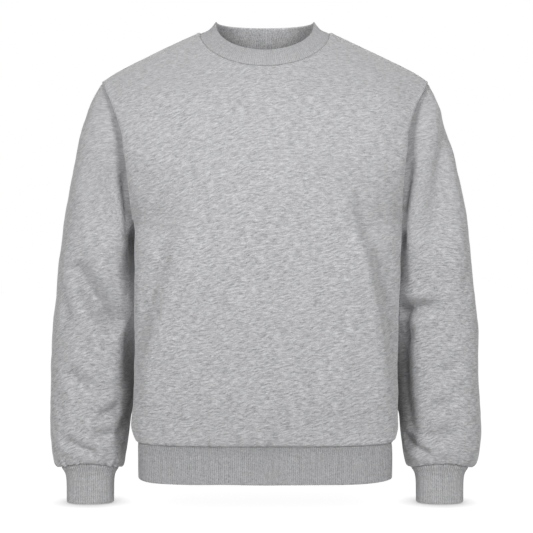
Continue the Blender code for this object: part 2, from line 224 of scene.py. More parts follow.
def splined(points, dense):
    """A natural cubic spline through a line of points, as dense points."""
    s = lengths(points) ** 1.0
    n = len(s)
    h = np.diff(s)
    a = np.eye(n)
    b = np.zeros((n, points.shape[1]))
    slope = np.diff(points, axis=0) / h[:, None]
    for i in range(1, n - 1):
        a[i, i - 1:i + 2] = h[i - 1], 2 * (h[i - 1] + h[i]), h[i]
        b[i] = 6 * (slope[i] - slope[i - 1])
    m = np.linalg.solve(a, b)
    x = np.linspace(0, s[-1], dense)
    i = np.clip(np.searchsorted(s, x, side="right") - 1, 0, n - 2)
    u, w = (s[i + 1] - x)[:, None], (x - s[i])[:, None]
    hi = h[i][:, None]
    return (
        m[i] * u ** 3 / (6 * hi) + m[i + 1] * w ** 3 / (6 * hi)
        + (points[i] / hi - m[i] * hi / 6) * u
        + (points[i + 1] / hi - m[i + 1] * hi / 6) * w
    )


def placed(points, shares):
    """Points of a line at shares of its length."""
    s = lengths(points)
    return np.stack([np.interp(shares * s[-1], s, c) for c in points.T], 1)


# ------------------------------------------------------- the body's form


def shoulder_fall(u):
    return (1 - SHOULDER_DROOP) * u + SHOULDER_DROOP * u ** 5


SHARES = np.linspace(0, 1, 2001)


def shoulder_x(z):
    u = np.interp(z / SHOULDER_Z, shoulder_fall(SHARES), SHARES)
    return NECK_HALF + (SHOULDER_X - NECK_HALF) * u


def shoulder_z(x):
    inside = CROWN * (1 - (x / NECK_HALF) ** 2)
    u = np.clip((x - NECK_HALF) / (SHOULDER_X - NECK_HALF), 0, None)
    return np.where(x < NECK_HALF, inside, SHOULDER_Z * shoulder_fall(u))


def edge_x(z, side):
    return np.where(
        z <= UNDERARM_Z, body("half_width", z),
        np.where(z < SHOULDER_Z, armhole(side + "_x", z), shoulder_x(z)),
    )


def depth(x, z, side):
    n = body("square", z)
    across = np.clip(np.abs(x) / body("half_width", z), 0, 1)
    fall = np.clip((shoulder_z(np.abs(x)) - z) / ROUND, 0, 1)
    return (
        body(side, z)
        * np.clip(1 - across ** n, 0, 1) ** (1 / n)
        * np.sqrt(1 - (1 - fall) ** 2)
    )


def top_z(k, side):
    """Height at which a column meets the neck seam."""
    if k >= COLUMNS:
        return 0.0
    drop = FRONT_DROP if side == "front" else BACK_DROP
    low, high = -drop, 0.0
    s = math.sin(math.radians(90 * k / COLUMNS))
    for _ in range(50):
        mid = (low + high) / 2
        if shoulder_x(mid) * s > NECK_HALF * math.sqrt(max(0, 1 - (mid / drop) ** 2)):
            low = mid
        else:
            high = mid
    return low


def column_points(k, row_z, side):
    """A body column, 0 at centre and 12 at the edge, over all rows."""
    forward = -1 if side == "front" else 1
    z = HEM_Z + (row_z - HEM_Z) * (top_z(k, side) - HEM_Z) / -HEM_Z
    on_arm = ease((row_z - UNDERARM_Z) / 0.010) * ease((SHOULDER_Z - row_z) / 0.008)
    edge = edge_x(z, side)
    s = np.full_like(z, math.sin(math.radians(90 * min(k, COLUMNS) / COLUMNS)))
    if k == COLUMNS:
        s = 1 - on_arm * 0.0035 / edge
    x = edge * s
    y = depth(x, z, side)
    angle = min(k, COLUMNS) / COLUMNS
    if k < COLUMNS and angle > 0.45:
        swell = math.sin(math.pi * ((angle - 0.45) / 0.55) ** 1.8)
        x = x + body("fold", z) * swell * (1.0 if side == "front" else 0.25)
    tuck = {COLUMNS + 1: 1.0, COLUMNS: 0.72, COLUMNS - 1: 0.30}.get(k, 0.0)
    y = y - body("tuck", z) * tuck * (1.0 if side == "front" else 0.5)
    if k < COLUMNS:
        y = y + SEAM_STRIP
    elif k == COLUMNS:
        y = y + SEAM_STRIP * (1 - on_arm)
    return np.stack([x, forward * np.maximum(y, 0), z], 1)


def row_heights(count):
    """Heights of the edge points, closer at the seams and on the shoulder."""
    def spacing(share):
        z = HEM_Z * (1 - share)
        base = np.where(z > SHOULDER_Z, 1.7, 3.7)
        base = base + (3.7 - 1.7) * np.exp(-((z - SHOULDER_Z) / 0.01) ** 2) * (z > SHOULDER_Z)
        return (
            base
            - 2.9 * np.exp(-(z - HEM_Z) / 0.012)
            - 0.9 * np.exp(z / 0.008)
        )
    return HEM_Z * (1 - graded(count, spacing))


def squared(line, side):
    """Brings the body's sides forward, squarer than an oval, below the arms."""
    middle = body(side, line[:, 2]) + SEAM_STRIP
    share = np.clip(np.abs(line[:, 1]) / middle, 0, 1)
    power = through(
        (-0.619, -0.612, -0.600, -0.575, -0.480, -0.380, -0.325, -0.285),
        (0.64, 0.62, 0.60, 0.56, 0.49, 0.43, 0.52, 1.0), line[:, 2])
    line = line.copy()
    line[:, 1] = np.sign(line[:, 1]) * middle * share ** power
    return line


def panel_form(side, rows, columns):
    """The front or back as a grid: rows from hem to neck, columns -X to +X."""
    z = row_heights(rows)
    half = [column_points(k, z, side) for k in range(COLUMNS + 2)]
    whole = [h * (-1, 1, 1) for h in half[:0:-1]] + half
    whole = np.stack(whole, 1)
    shares = graded(columns, lambda x: 1 - 0.74 * (
        np.exp(-x / 0.016) + np.exp(-(1 - x) / 0.016)
    ) - 0.35 * (np.exp(-((x - 0.16) / 0.08) ** 2) + np.exp(-((x - 0.84) / 0.08) ** 2)))
    return np.stack([placed(squared(splined(w, 900), side), shares) for w in whole]), z


# ------------------------------------------------------- grids of cloth


def ahead(grid, axis, closed):
    if closed:
        return (np.roll(grid, -1, axis) - np.roll(grid, 1, axis)) / 2
    return np.gradient(grid, axis=axis)


class Cloth:
    """One piece of cloth as a grid of points with outward normals."""

    def __init__(self, points, turn, closed=False):
        self.p, self.turn, self.closed = points, turn, closed
        self.n = self.normals()
        step_u = np.linalg.norm(np.diff(points, axis=1), axis=2)
        step_v = np.linalg.norm(np.diff(points, axis=0), axis=2)
        zero_u, zero_v = np.zeros((len(points), 1)), np.zeros((1, points.shape[1]))
        self.u = np.concatenate([zero_u, np.cumsum(step_u, 1)], 1)
        self.v = np.concatenate([zero_v, np.cumsum(step_v, 0)], 0)
        self.low = self.v
        self.place = np.stack([self.u - self.u[:, self.u.shape[1] // 2, None], self.v], -1)
        self.high = self.v[-1:] - self.v
        self.left = self.u
        self.right = self.u[:, -1:] - self.u
        self.d = np.zeros(points.shape[:2])

    def normals(self):
        n = np.cross(ahead(self.p, 1, self.closed), np.gradient(self.p, axis=0))
        n *= self.turn / np.maximum(np.linalg.norm(n, axis=2, keepdims=True), 1e-12)
        return n

    def settle(self):
        """Moves the points by what the folds have added up to."""
        self.p = self.p + self.n * self.d[..., None]
        self.n = self.normals()
        self.d = np.zeros(self.d.shape)


class Waves:
    """A smooth uneven field in space, about 1 high, from many plane waves."""

    def __init__(self, seed, short, long, count=48):
        rng = np.random.default_rng(seed)
        way = rng.normal(size=(count, 3))
        way /= np.linalg.norm(way, axis=1, keepdims=True)
        span = np.exp(rng.uniform(math.log(short), math.log(long), count))
        self.k = way * (2 * math.pi / span)[:, None]
        self.phase = rng.uniform(0, 2 * math.pi, count)
        self.size = (span / long) ** 0.7
        self.size *= math.sqrt(2) / np.linalg.norm(self.size)

    def __call__(self, p):
        return (np.sin(p @ self.k.T + self.phase) * self.size).sum(-1)


class Ripple:
    """An uneven row of little gathers along a seam, about 1 high."""

    def __init__(self, seed, short, long, count=14):
        rng = np.random.default_rng(seed)
        self.k = 2 * math.pi / np.exp(rng.uniform(math.log(short), math.log(long), count))
        self.phase = rng.uniform(0, 2 * math.pi, count)

    def __call__(self, s):
        s = np.asarray(s)[..., None]
        return np.sin(s * self.k + self.phase).sum(-1) * math.sqrt(2 / len(self.k))


FACES = {  # which way a fold's side faces: (first axis, second axis, facing axis, sign)
    "front": (0, 2, 1, -1), "back": (0, 2, 1, 1),
    "left": (1, 2, 0, 1), "right": (1, 2, 0, -1),
}


def on_cloth(cloth, face, points):
    """Points given as seen square on from a side, set on the cloth."""
    a, b, c, sign = FACES[face]
    facing = cloth.n[..., c] * sign > 0.05
    flat = cloth.p[facing]
    made = []
    for q in points:
        d = (flat[:, a] - q[0]) ** 2 + (flat[:, b] - q[1]) ** 2
        near = flat[np.argsort(d)[:6]]
        spot = near.mean(0)
        spot[a], spot[b] = q
        made.append(spot)
    return np.array(made)


def fold(cloth, face, path, wide, deep, ends=(0.3, 0.3), lips=0.3, lean=0.0, swing=None):
    """A soft trough (deep > 0) or ridge (deep < 0) along a path, in millimetres.

    wide is the half-width, lips the low rise on each side of it, and lean
    makes one side steeper than the other. Several depths follow the path.
    """
    line = splined(on_cloth(cloth, face, np.array(path, float) / 1000), 49)
    s = lengths(line)
    t = s / s[-1]
    w0, w1 = (wide if hasattr(wide, "__len__") else (wide, wide))
    widths = (w0 + (w1 - w0) * t) / 1000
    reach = widths.max() * 4
    p = cloth.p.reshape(-1, 3)
    near = np.all((p > line.min(0) - reach) & (p < line.max(0) + reach), 1)
    index = np.flatnonzero(near)
    if not len(index):
        return
    q = p[index]
    seg, start = np.diff(line, axis=0), line[:-1]
    long2 = (seg ** 2).sum(1)
    best = np.full(len(q), 1e9)
    where = np.zeros(len(q))
    gap = np.zeros((len(q), 3))
    along = np.zeros((len(q), 3))
    for i in range(len(seg)):
        r = q - start[i]
        f = np.clip(r @ seg[i] / long2[i], 0, 1)
        g = r - f[:, None] * seg[i]
        d = (g ** 2).sum(1)
        better = d < best
        best[better] = d[better]
        where[better] = (t[i] + f * (t[i + 1] - t[i]))[better]
        gap[better] = g[better]
        along[better] = seg[i] / math.sqrt(long2[i])
    normal = cloth.n.reshape(-1, 3)[index]
    sideways = np.cross(along, normal)
    off = (gap * sideways).sum(1)
    # Distance along the surface only, so that the curve of the piece doesn't thin the fold.
    width = np.interp(where, t, widths)
    x = np.sign(off) * np.sqrt(best) / width
    x = x / (1 + lean * np.tanh(x))
    shape = -np.exp(-x * x) + lips * np.exp(-((np.abs(x) - 2.0) / 0.9) ** 2)
    grow = ease(where / max(ends[0], 1e-3)) * ease((1 - where) / max(ends[1], 1e-3))
    add = np.zeros(len(p))
    if hasattr(deep, "__len__"):
        deep = through(np.linspace(0, 1, len(deep)), deep, where)
    add[index] = shape * grow * deep / 1000
    cloth.d += add.reshape(cloth.d.shape)


def seam_dip(e, deep=0.0011, wide=0.0014, rise=0.00035):
    """How the cloth turns down into a seam at distance e from it."""
    return -deep * np.exp(-(e / wide) ** 2) + rise * np.exp(-((e - 0.0048) / 0.0030) ** 2)


def gathers(e, peak, reach):
    """How strong the gathers are at a distance from the seam."""
    return (e / peak) * np.exp(1 - e / peak) * np.exp(-(e / reach) ** 2)


def match_edge(cloth, row, target, reach=0.006):
    """Brings an end row of the grid onto target points, easing over reach."""
    e = cloth.low if row == 0 else cloth.high
    shift = target - cloth.p[row]
    cloth.p = cloth.p + ease(1 - e / reach)[..., None] * shift[None]


# ----------------------------------------------------------- front, back

# Long drape folds down from the armholes. Outside each crease the cloth lies
# further back: height, crease from centre, width of the bend and depth of the step.
DRAPES = {
    ("front", -1): (
        (-0.585, 0.1900, 0.021, 0.0), (-0.545, 0.1890, 0.021, 0.0080),
        (-0.509, 0.1860, 0.021, 0.0180), (-0.479, 0.1800, 0.021, 0.0230),
        (-0.450, 0.1700, 0.022, 0.0225), (-0.421, 0.1626, 0.024, 0.0160),
        (-0.391, 0.1560, 0.023, 0.0150), (-0.362, 0.1455, 0.022, 0.0130),
        (-0.333, 0.1395, 0.021, 0.0080), (-0.296, 0.1333, 0.021, 0.0054),
        (-0.250, 0.1290, 0.022, 0.0026), (-0.210, 0.1260, 0.022, 0.0),
    ),
    ("front", 1): (
        (-0.585, 0.1950, 0.019, 0.0), (-0.538, 0.1892, 0.018, 0.0085),
        (-0.509, 0.1845, 0.017, 0.0150), (-0.479, 0.1805, 0.016, 0.0200),
        (-0.450, 0.1768, 0.016, 0.0250), (-0.421, 0.1708, 0.017, 0.0290),
        (-0.391, 0.1640, 0.018, 0.0300), (-0.362, 0.1588, 0.019, 0.0270),
        (-0.333, 0.1540, 0.019, 0.0220), (-0.296, 0.1410, 0.018, 0.0150),
        (-0.255, 0.1330, 0.017, 0.0070), (-0.210, 0.1280, 0.016, 0.0),
    ),
    ("back", -1): (
        (-0.560, 0.1900, 0.026, 0.0), (-0.490, 0.1740, 0.026, 0.0080),
        (-0.410, 0.1540, 0.026, 0.0100), (-0.330, 0.1360, 0.024, 0.0060),
        (-0.240, 0.1240, 0.024, 0.0),
    ),
    ("back", 1): (
        (-0.550, 0.1880, 0.026, 0.0), (-0.478, 0.1720, 0.026, 0.0090),
        (-0.404, 0.1510, 0.025, 0.0105), (-0.330, 0.1330, 0.024, 0.0064),
        (-0.236, 0.1180, 0.024, 0.0),
    ),
}
FRONT_FOLDS = (
    # path (x, z) in mm, half-width, depth, ends, lips, lean
    (((-64, -590), (-40, -600), (-14, -604)), 9, -0.8, (0.4, 0.4), 0.0, 0.0),
    (((-150, -140), (-128, -176), (-112, -214)), 16, 1.6, (0.4, 0.4), 0.2, 0.0),
    (((152, -132), (134, -168), (122, -206)), 16, 2.0, (0.4, 0.4), 0.2, 0.0),
)
BACK_FOLDS = (
    (((-70, -500), (-20, -520), (40, -512), (92, -490)), (12, 14), 3.0, (0.4, 0.4), 0.35, 0.2),
    (((-96, -545), (-40, -566), (30, -560)), (10, 12), 2.2, (0.4, 0.4), 0.3, -0.2),
    (((-150, -130), (-124, -172), (-104, -220)), 16, 2.0, (0.4, 0.4), 0.2, 0.0),
    (((150, -128), (128, -165), (110, -205)), 16, 1.8, (0.4, 0.4), 0.2, 0.0),
)

calm = Waves(11, 0.05, 0.16)
fine = Waves(23, 0.018, 0.045)


def make_panel(side, folds, seed):
    grid, z = panel_form(side, 194, 186)
    cloth = Cloth(grid, 1 if side == "front" else -1)
    # The two panels are given one shared normal along the side and shoulder seams further down.
    return cloth, z


front, row_z = make_panel("front", FRONT_FOLDS, 1)
back, _ = make_panel("back", BACK_FOLDS, 2)

def valley(z):
    """How deep the cloth turns in at the armhole seam, and over what width."""
    deep = through(
        (-0.289, -0.286, -0.281, -0.268, -0.225, -0.186, -0.150, -0.125, -0.100, -0.0765),
        (0.0, 0.0065, 0.0140, 0.0185, 0.0200, 0.0175, 0.0125, 0.0075, 0.0025, 0.0), z)
    wide = through(
        (-0.289, -0.255, -0.205, -0.160, -0.125, -0.100, -0.0765),
        (0.0030, 0.0030, 0.0030, 0.0034, 0.0050, 0.0070, 0.0080), z)
    return deep * (z > UNDERARM_Z) * (z < SHOULDER_Z), wide


# The body hangs a little unevenly from one side to the other.
shift_left = through(
    (-0.600, -0.545, -0.480, -0.410, -0.362, -0.314, -0.273, -0.232, -0.190, -0.163, -0.140,
     -0.120, -0.095),
    (0.0, 0.0, -0.0014, 0.0022, 0.0036, 0.0066, 0.0060, 0.0062, 0.0052, 0.0016, -0.0014,
     -0.0020, 0.0), row_z)
shift_right = through(
    (-0.600, -0.560, -0.500, -0.435, -0.360, -0.330, -0.300, -0.285, -0.260, -0.236, -0.210,
     -0.188, -0.163, -0.135),
    (0.0, 0.0024, 0.0042, 0.0066, 0.0050, 0.0035, 0.0014, 0.0, -0.0012, -0.0022, -0.0037,
     -0.0038, -0.0010, 0.0), row_z)


def drape(cloth, face, side):
    """Sets the cloth outside a long crease further back, and swells it inside."""
    rows = np.array(DRAPES[face, side])
    at, wide, deep = (through(rows[:, 0], rows[:, i], row_z)[:, None] for i in (1, 2, 3))
    bend = ease((side * cloth.p[..., 0] - at) / wide + 0.5)
    # Nothing moves at the side seam, nor at the armhole.
    keep = ease(np.abs(cloth.p[..., 1]) / 0.045)
    e = cloth.right if side > 0 else cloth.left
    keep = keep * (1 - ease((row_z + 0.325) / 0.03)[:, None] * (1 - ease(e / 0.035)))
    swell = 0.34 * np.exp(-((side * cloth.p[..., 0] - at + 0.85 * wide) / 0.015) ** 2)
    cloth.p[..., 1] += (1 if face == "front" else -1) * deep * (bend * keep - swell)


for cloth, part in ((front, 1.0), (back, 0.6)):
    near = ease((np.abs(cloth.p[..., 0]) / 0.195 - 0.55) / 0.40)
    cloth.p[..., 0] += near * np.where(
        cloth.p[..., 0] > 0, shift_left[:, None], shift_right[:, None])
    for side in (-1, 1):
        drape(cloth, "front" if cloth is front else "back", side)
    # The seam to the waistband runs a little higher at the sides.
    cloth.p[..., 2] += 0.0026 * (np.abs(cloth.p[..., 0]) / 0.19) ** 5 * ease(1 - cloth.low / 0.05)
    cloth.edge0 = cloth.p[:, (0, -1)].copy()
    deep, wide = valley(row_z)
    e = np.minimum(cloth.left, cloth.right)
    turn_in = part * deep[:, None] * (1 - ease(e / (1.6 * wide[:, None])))
    turn_in = turn_in * (1 + np.where(cloth.p[..., 0] < 0, -0.2, 0.12) * ease((row_z + 0.23) / 0.05)[:, None])
    cloth.p[..., 1] += turn_in * (1 if cloth is front else -1)
    cloth.n = cloth.normals()

for col in (0, -1):
    both = front.n[:, col] + back.n[:, col]
    both /= np.linalg.norm(both, axis=1, keepdims=True)
    shared = np.where(
        ((row_z <= UNDERARM_Z) | (row_z >= SHOULDER_Z))[:, None], 1.0, 0.0)
    for cloth in (front, back):
        e = cloth.left if col == 0 else cloth.right
        ours = np.exp(-(e / 0.010) ** 2)[..., None] * shared[:, None]
        cloth.n = cloth.n * (1 - ours) + both[:, None] * ours
        cloth.n /= np.linalg.norm(cloth.n, axis=2, keepdims=True)

for cloth, folds, face, seed in ((front, FRONT_FOLDS, "front", 3), (back, BACK_FOLDS, "back", 5)):
    for path, wide, deep, ends, lips, lean in folds:
        fold(cloth, face, path, wide, deep, ends, lips, lean)
    arm_rows = ease((row_z - UNDERARM_Z + 0.02) / 0.02) * ease((SHOULDER_Z + 0.01 - row_z) / 0.01)
    sides = np.minimum(cloth.left, cloth.right)
    quiet = (
        ease(cloth.low / 0.030) * ease(cloth.high / 0.030)
        * (1 - arm_rows[:, None] * (1 - ease(sides / 0.030)))
    )
    cloth.d *= quiet
    quiet = quiet * (0.25 + 0.75 * ease(sides / 0.040))
    cloth.d += 0.0010 * calm(cloth.p) * quiet + 0.00018 * fine(cloth.p) * quiet
    hem = Ripple(seed, 0.008, 0.024)
    neck = Ripple(seed + 1, 0.007, 0.016)
    arm = Ripple(seed + 2, 0.009, 0.020)
    cloth.d += 0.00050 * hem(cloth.u) * gathers(cloth.low, 0.006, 0.026)
    cloth.d += 0.00022 * neck(cloth.u) * gathers(cloth.high, 0.0045, 0.016)
    cloth.d += 0.00030 * arm(cloth.v) * gathers(sides, 0.005, 0.018) * arm_rows[:, None]
    cloth.d += seam_dip(cloth.low, 0.0, 0.0010, 0.0) + seam_dip(cloth.high, 0.0020, 0.0012, 0.0005)
    cloth.d += seam_dip(cloth.left) + seam_dip(cloth.right)
    cloth.settle()
    cloth.place[..., 0] *= -cloth.turn if face == "back" else 1

# --------------------------------------------------------------- sleeves

SLEEVE_FOLDS = {
    # The wearer's right sleeve, at -X. Its inside faces +X, "left".
    -1: (
        ("left", ((0, -276), (2, -304), (3, -332), (4, -360), (3, -388), (2, -416), (2, -444), (2, -472), (2, -500), (1, -528), (0, -556), (-4, -584), (-10, -612), (-16, -636)), (24, 16), (13, 13, 9, 1.5, -1.5, -1.5, 3, 6.5, 7, 2, -5.5, 4, 7.5, 7), (0.06, 0.08), 0.0, 0.0),
        ("left", ((38, -525), (36, -558), (34, -590)), 15, -4.0, (0.4, 0.4), 0.0, 0.0),
        ("front", ((-291, -347), (-277, -375), (-264, -398), (-249, -421), (-234, -443), (-222, -464)), (12, 20), (10, 16, 21, 25, 25, 15), (0.12, 0.15), 0.1, -0.15),
        ("front", ((-258, -426), (-242, -434), (-224, -443)), (7, 10), 7.0, (0.35, 0.2), 0.2, 0.0),
        ("front", ((-306, -398), (-303, -428), (-300, -455)), 10, 4.0, (0.35, 0.35), 0.2, 0.0),
        ("front", ((-306, -512), (-290, -526), (-274, -538), (-258, -548)), (10, 12), 9.0, (0.25, 0.35), 0.15, 0.0),
        ("front", ((-256, -587), (-238, -580), (-218, -572)), (7, 11), 11.0, (0.3, 0.15), 0.2, 0.0),
        ("front", ((-312, -612), (-292, -626), (-272, -635), (-252, -643)), (8, 6), 8.0, (0.3, 0.22), 0.25, 0.0),
        ("front", ((-264, -615), (-246, -613), (-228, -608)), (7, 9), 8.0, (0.3, 0.2), 0.2, 0.0),
        ("front", ((-250, -180), (-250, -236), (-246, -286), (-242, -330)), (18, 20), 9.0, (0.4, 0.4), 0.05, 0.0),
        ("back", ((-292, -380), (-262, -398), (-226, -404)), (8, 10), 5.5, (0.3, 0.3), 0.4, 0.3),
        ("back", ((-288, -440), (-258, -452), (-228, -446)), (8, 10), 4.6, (0.3, 0.3), 0.4, -0.2),
        ("back", ((-304, -545), (-276, -566), (-240, -572)), (8, 9), 3.6, (0.3, 0.3), 0.4, 0.2),
        ("back", ((-306, -610), (-282, -622), (-250, -618)), (6, 8), 3.4, (0.3, 0.3), 0.4, 0.0),
        ("right", ((14, -318), (30, -338), (50, -348)), (9, 10), 1.6, (0.4, 0.3), 0.3, 0.0),
        ("right", ((12, -600), (28, -612), (50, -608)), (6, 7), 1.4, (0.4, 0.3), 0.3, 0.0),
    ),
    # The wearer's left sleeve, at +X. Its inside faces -X, "right".
    1: (
        ("right", ((0, -276), (0, -290), (0, -304), (0, -320), (0, -345), (0, -375)), 14, (9, 8, 2, -3, -5, -3), (0.12, 0.3), 0.0, 0.0),
        ("right", ((2, -396), (2, -424), (2, -452), (2, -480), (1, -508), (0, -536), (-3, -564), (-8, -592), (-12, -618), (-15, -636)), (22, 16), (2, 8, 10.5, 12.5, 13.5, 12.5, 10.5, 10, 10, 8), (0.10, 0.10), 0.0, 0.0),
        ("right", ((38, -525), (36, -558), (34, -590)), 15, -4.0, (0.4, 0.4), 0.0, 0.0),
        ("front", ((202, -425), (222, -422), (240, -420), (256, -416), (274, -410)), (12, 9), (8, 15, 19, 15, 8), (0.05, 0.35), 0.12, 0.0),
        ("front", ((270, -120), (272, -165), (269, -210), (264, -255), (257, -305), (250, -350)), (20, 21), (7, 11, 14, 14, 12, 8), (0.15, 0.25), 0.0, 0.0),
        ("front", ((212, -426), (213, -456), (215, -486)), (12, 12), 7.0, (0.35, 0.35), 0.0, 0.0),
        ("front", ((210, -618), (228, -632), (244, -641), (260, -644)), (8, 6), 9.0, (0.12, 0.30), 0.25, 0.0),
        ("front", ((288, -554), (266, -570), (242, -572)), (9, 10), 5.0, (0.35, 0.35), 0.3, 0.0),
        ("front", ((294, -606), (268, -614), (240, -617)), (12, 12), 8.0, (0.3, 0.35), 0.15, 0.0),
        ("front", ((302, -498), (280, -516), (258, -522)), (9, 9), 4.0, (0.35, 0.35), 0.3, 0.0),
        ("front", ((306, -350), (304, -386), (306, -420)), (10, 10), 3.0, (0.35, 0.35), 0.2, 0.0),
        ("back", ((292, -372), (266, -392), (228, -400)), (8, 10), 5.2, (0.3, 0.3), 0.4, 0.3),
        ("back", ((288, -436), (262, -448), (230, -440)), (8, 10), 4.8, (0.3, 0.3), 0.4, -0.2),
        ("back", ((304, -552), (276, -570), (242, -566)), (8, 9), 3.4, (0.3, 0.3), 0.4, 0.2),
        ("back", ((304, -614), (282, -622), (252, -614)), (6, 8), 3.2, (0.3, 0.3), 0.4, 0.0),
        ("left", ((16, -326), (32, -342), (52, -350)), (9, 10), 1.6, (0.4, 0.3), 0.3, 0.0),
        ("left", ((14, -602), (30, -612), (52, -606)), (6, 7), 1.4, (0.4, 0.3), 0.3, 0.0),
    ),
}


# Troughs that run close beside the armhole seam, under the arm.
ARM_FOLDS = {
    -1: (("front", ((-214, -200), (-209, -235), (-206, -268), (-205, -300), (-205, -330)), (8, 9), 9.0, (0.25, 0.25), 0.0, 0.0),),
    1: (("front", ((224, -185), (216, -225), (210, -262), (207, -288), (206, -312), (206, -345)), (7, 8), (6, 8, 10, 12, 12, 7), (0.2, 0.2), 0.0, 0.0),),
}


def loft(table, rows, turns, side, square=None):
    """Sections of a sleeve or cuff as a grid: rows along, turns round it."""
    v = {n: table(n, rows)[:, None] for n in table.curves}
    c, s = np.cos(turns)[None], np.sin(turns)[None]
    half_x, half_z = (v["out_x"] - v["in_x"]) / 2, (v["out_z"] - v["in_z"]) / 2
    # The arm is a little squarer than an oval in front, most of all towards the body.
    corner = np.clip(np.cos(turns - math.radians(135)), 0, 1)[None] ** 2
    outer = np.clip(np.cos(turns - math.radians(45)), 0, 1)[None] ** 2
    n = 2.0
    if np.ndim(square):
        n = n + square * corner + 0.50 * ease(rows[:, None] / 2) * ease((13.2 - rows[:, None]) / 4) * outer * (1.8 if side > 0 else 1.0)
    r = (np.abs(c) ** n + np.abs(s) ** n) ** (-1 / n)
    c, s = c * r, s * r
    return np.stack([
        side * ((v["out_x"] + v["in_x"]) / 2 + half_x * c),
        v["mid_y"] - np.where(s > 0, v["front"], v["back"]) * s + 0 * half_x,
        (v["out_z"] + v["in_z"]) / 2 + half_z * c + v["lift"] * s * s,
    ], 2)


def armhole_line(turns, side, plain=False):
    """The armhole seam at the sleeve's own turns, on the panels' edges."""
    col = -1 if side > 0 else 0
    on = (row_z >= UNDERARM_Z - 0.002) & (row_z <= SHOULDER_Z + 0.002)
    z = (UNDERARM_Z + SHOULDER_Z) / 2 + (SHOULDER_Z - UNDERARM_Z) / 2 * np.cos(turns)
    made = np.zeros((len(turns), 3))
    for cloth, mine in ((front, np.sin(turns) >= 0), (back, np.sin(turns) < 0)):
        line = cloth.edge0[:, col] if plain else cloth.p[:, col]
        made[mine] = np.stack([np.interp(z[mine], row_z, line[:, a]) for a in range(3)], 1)
    return made


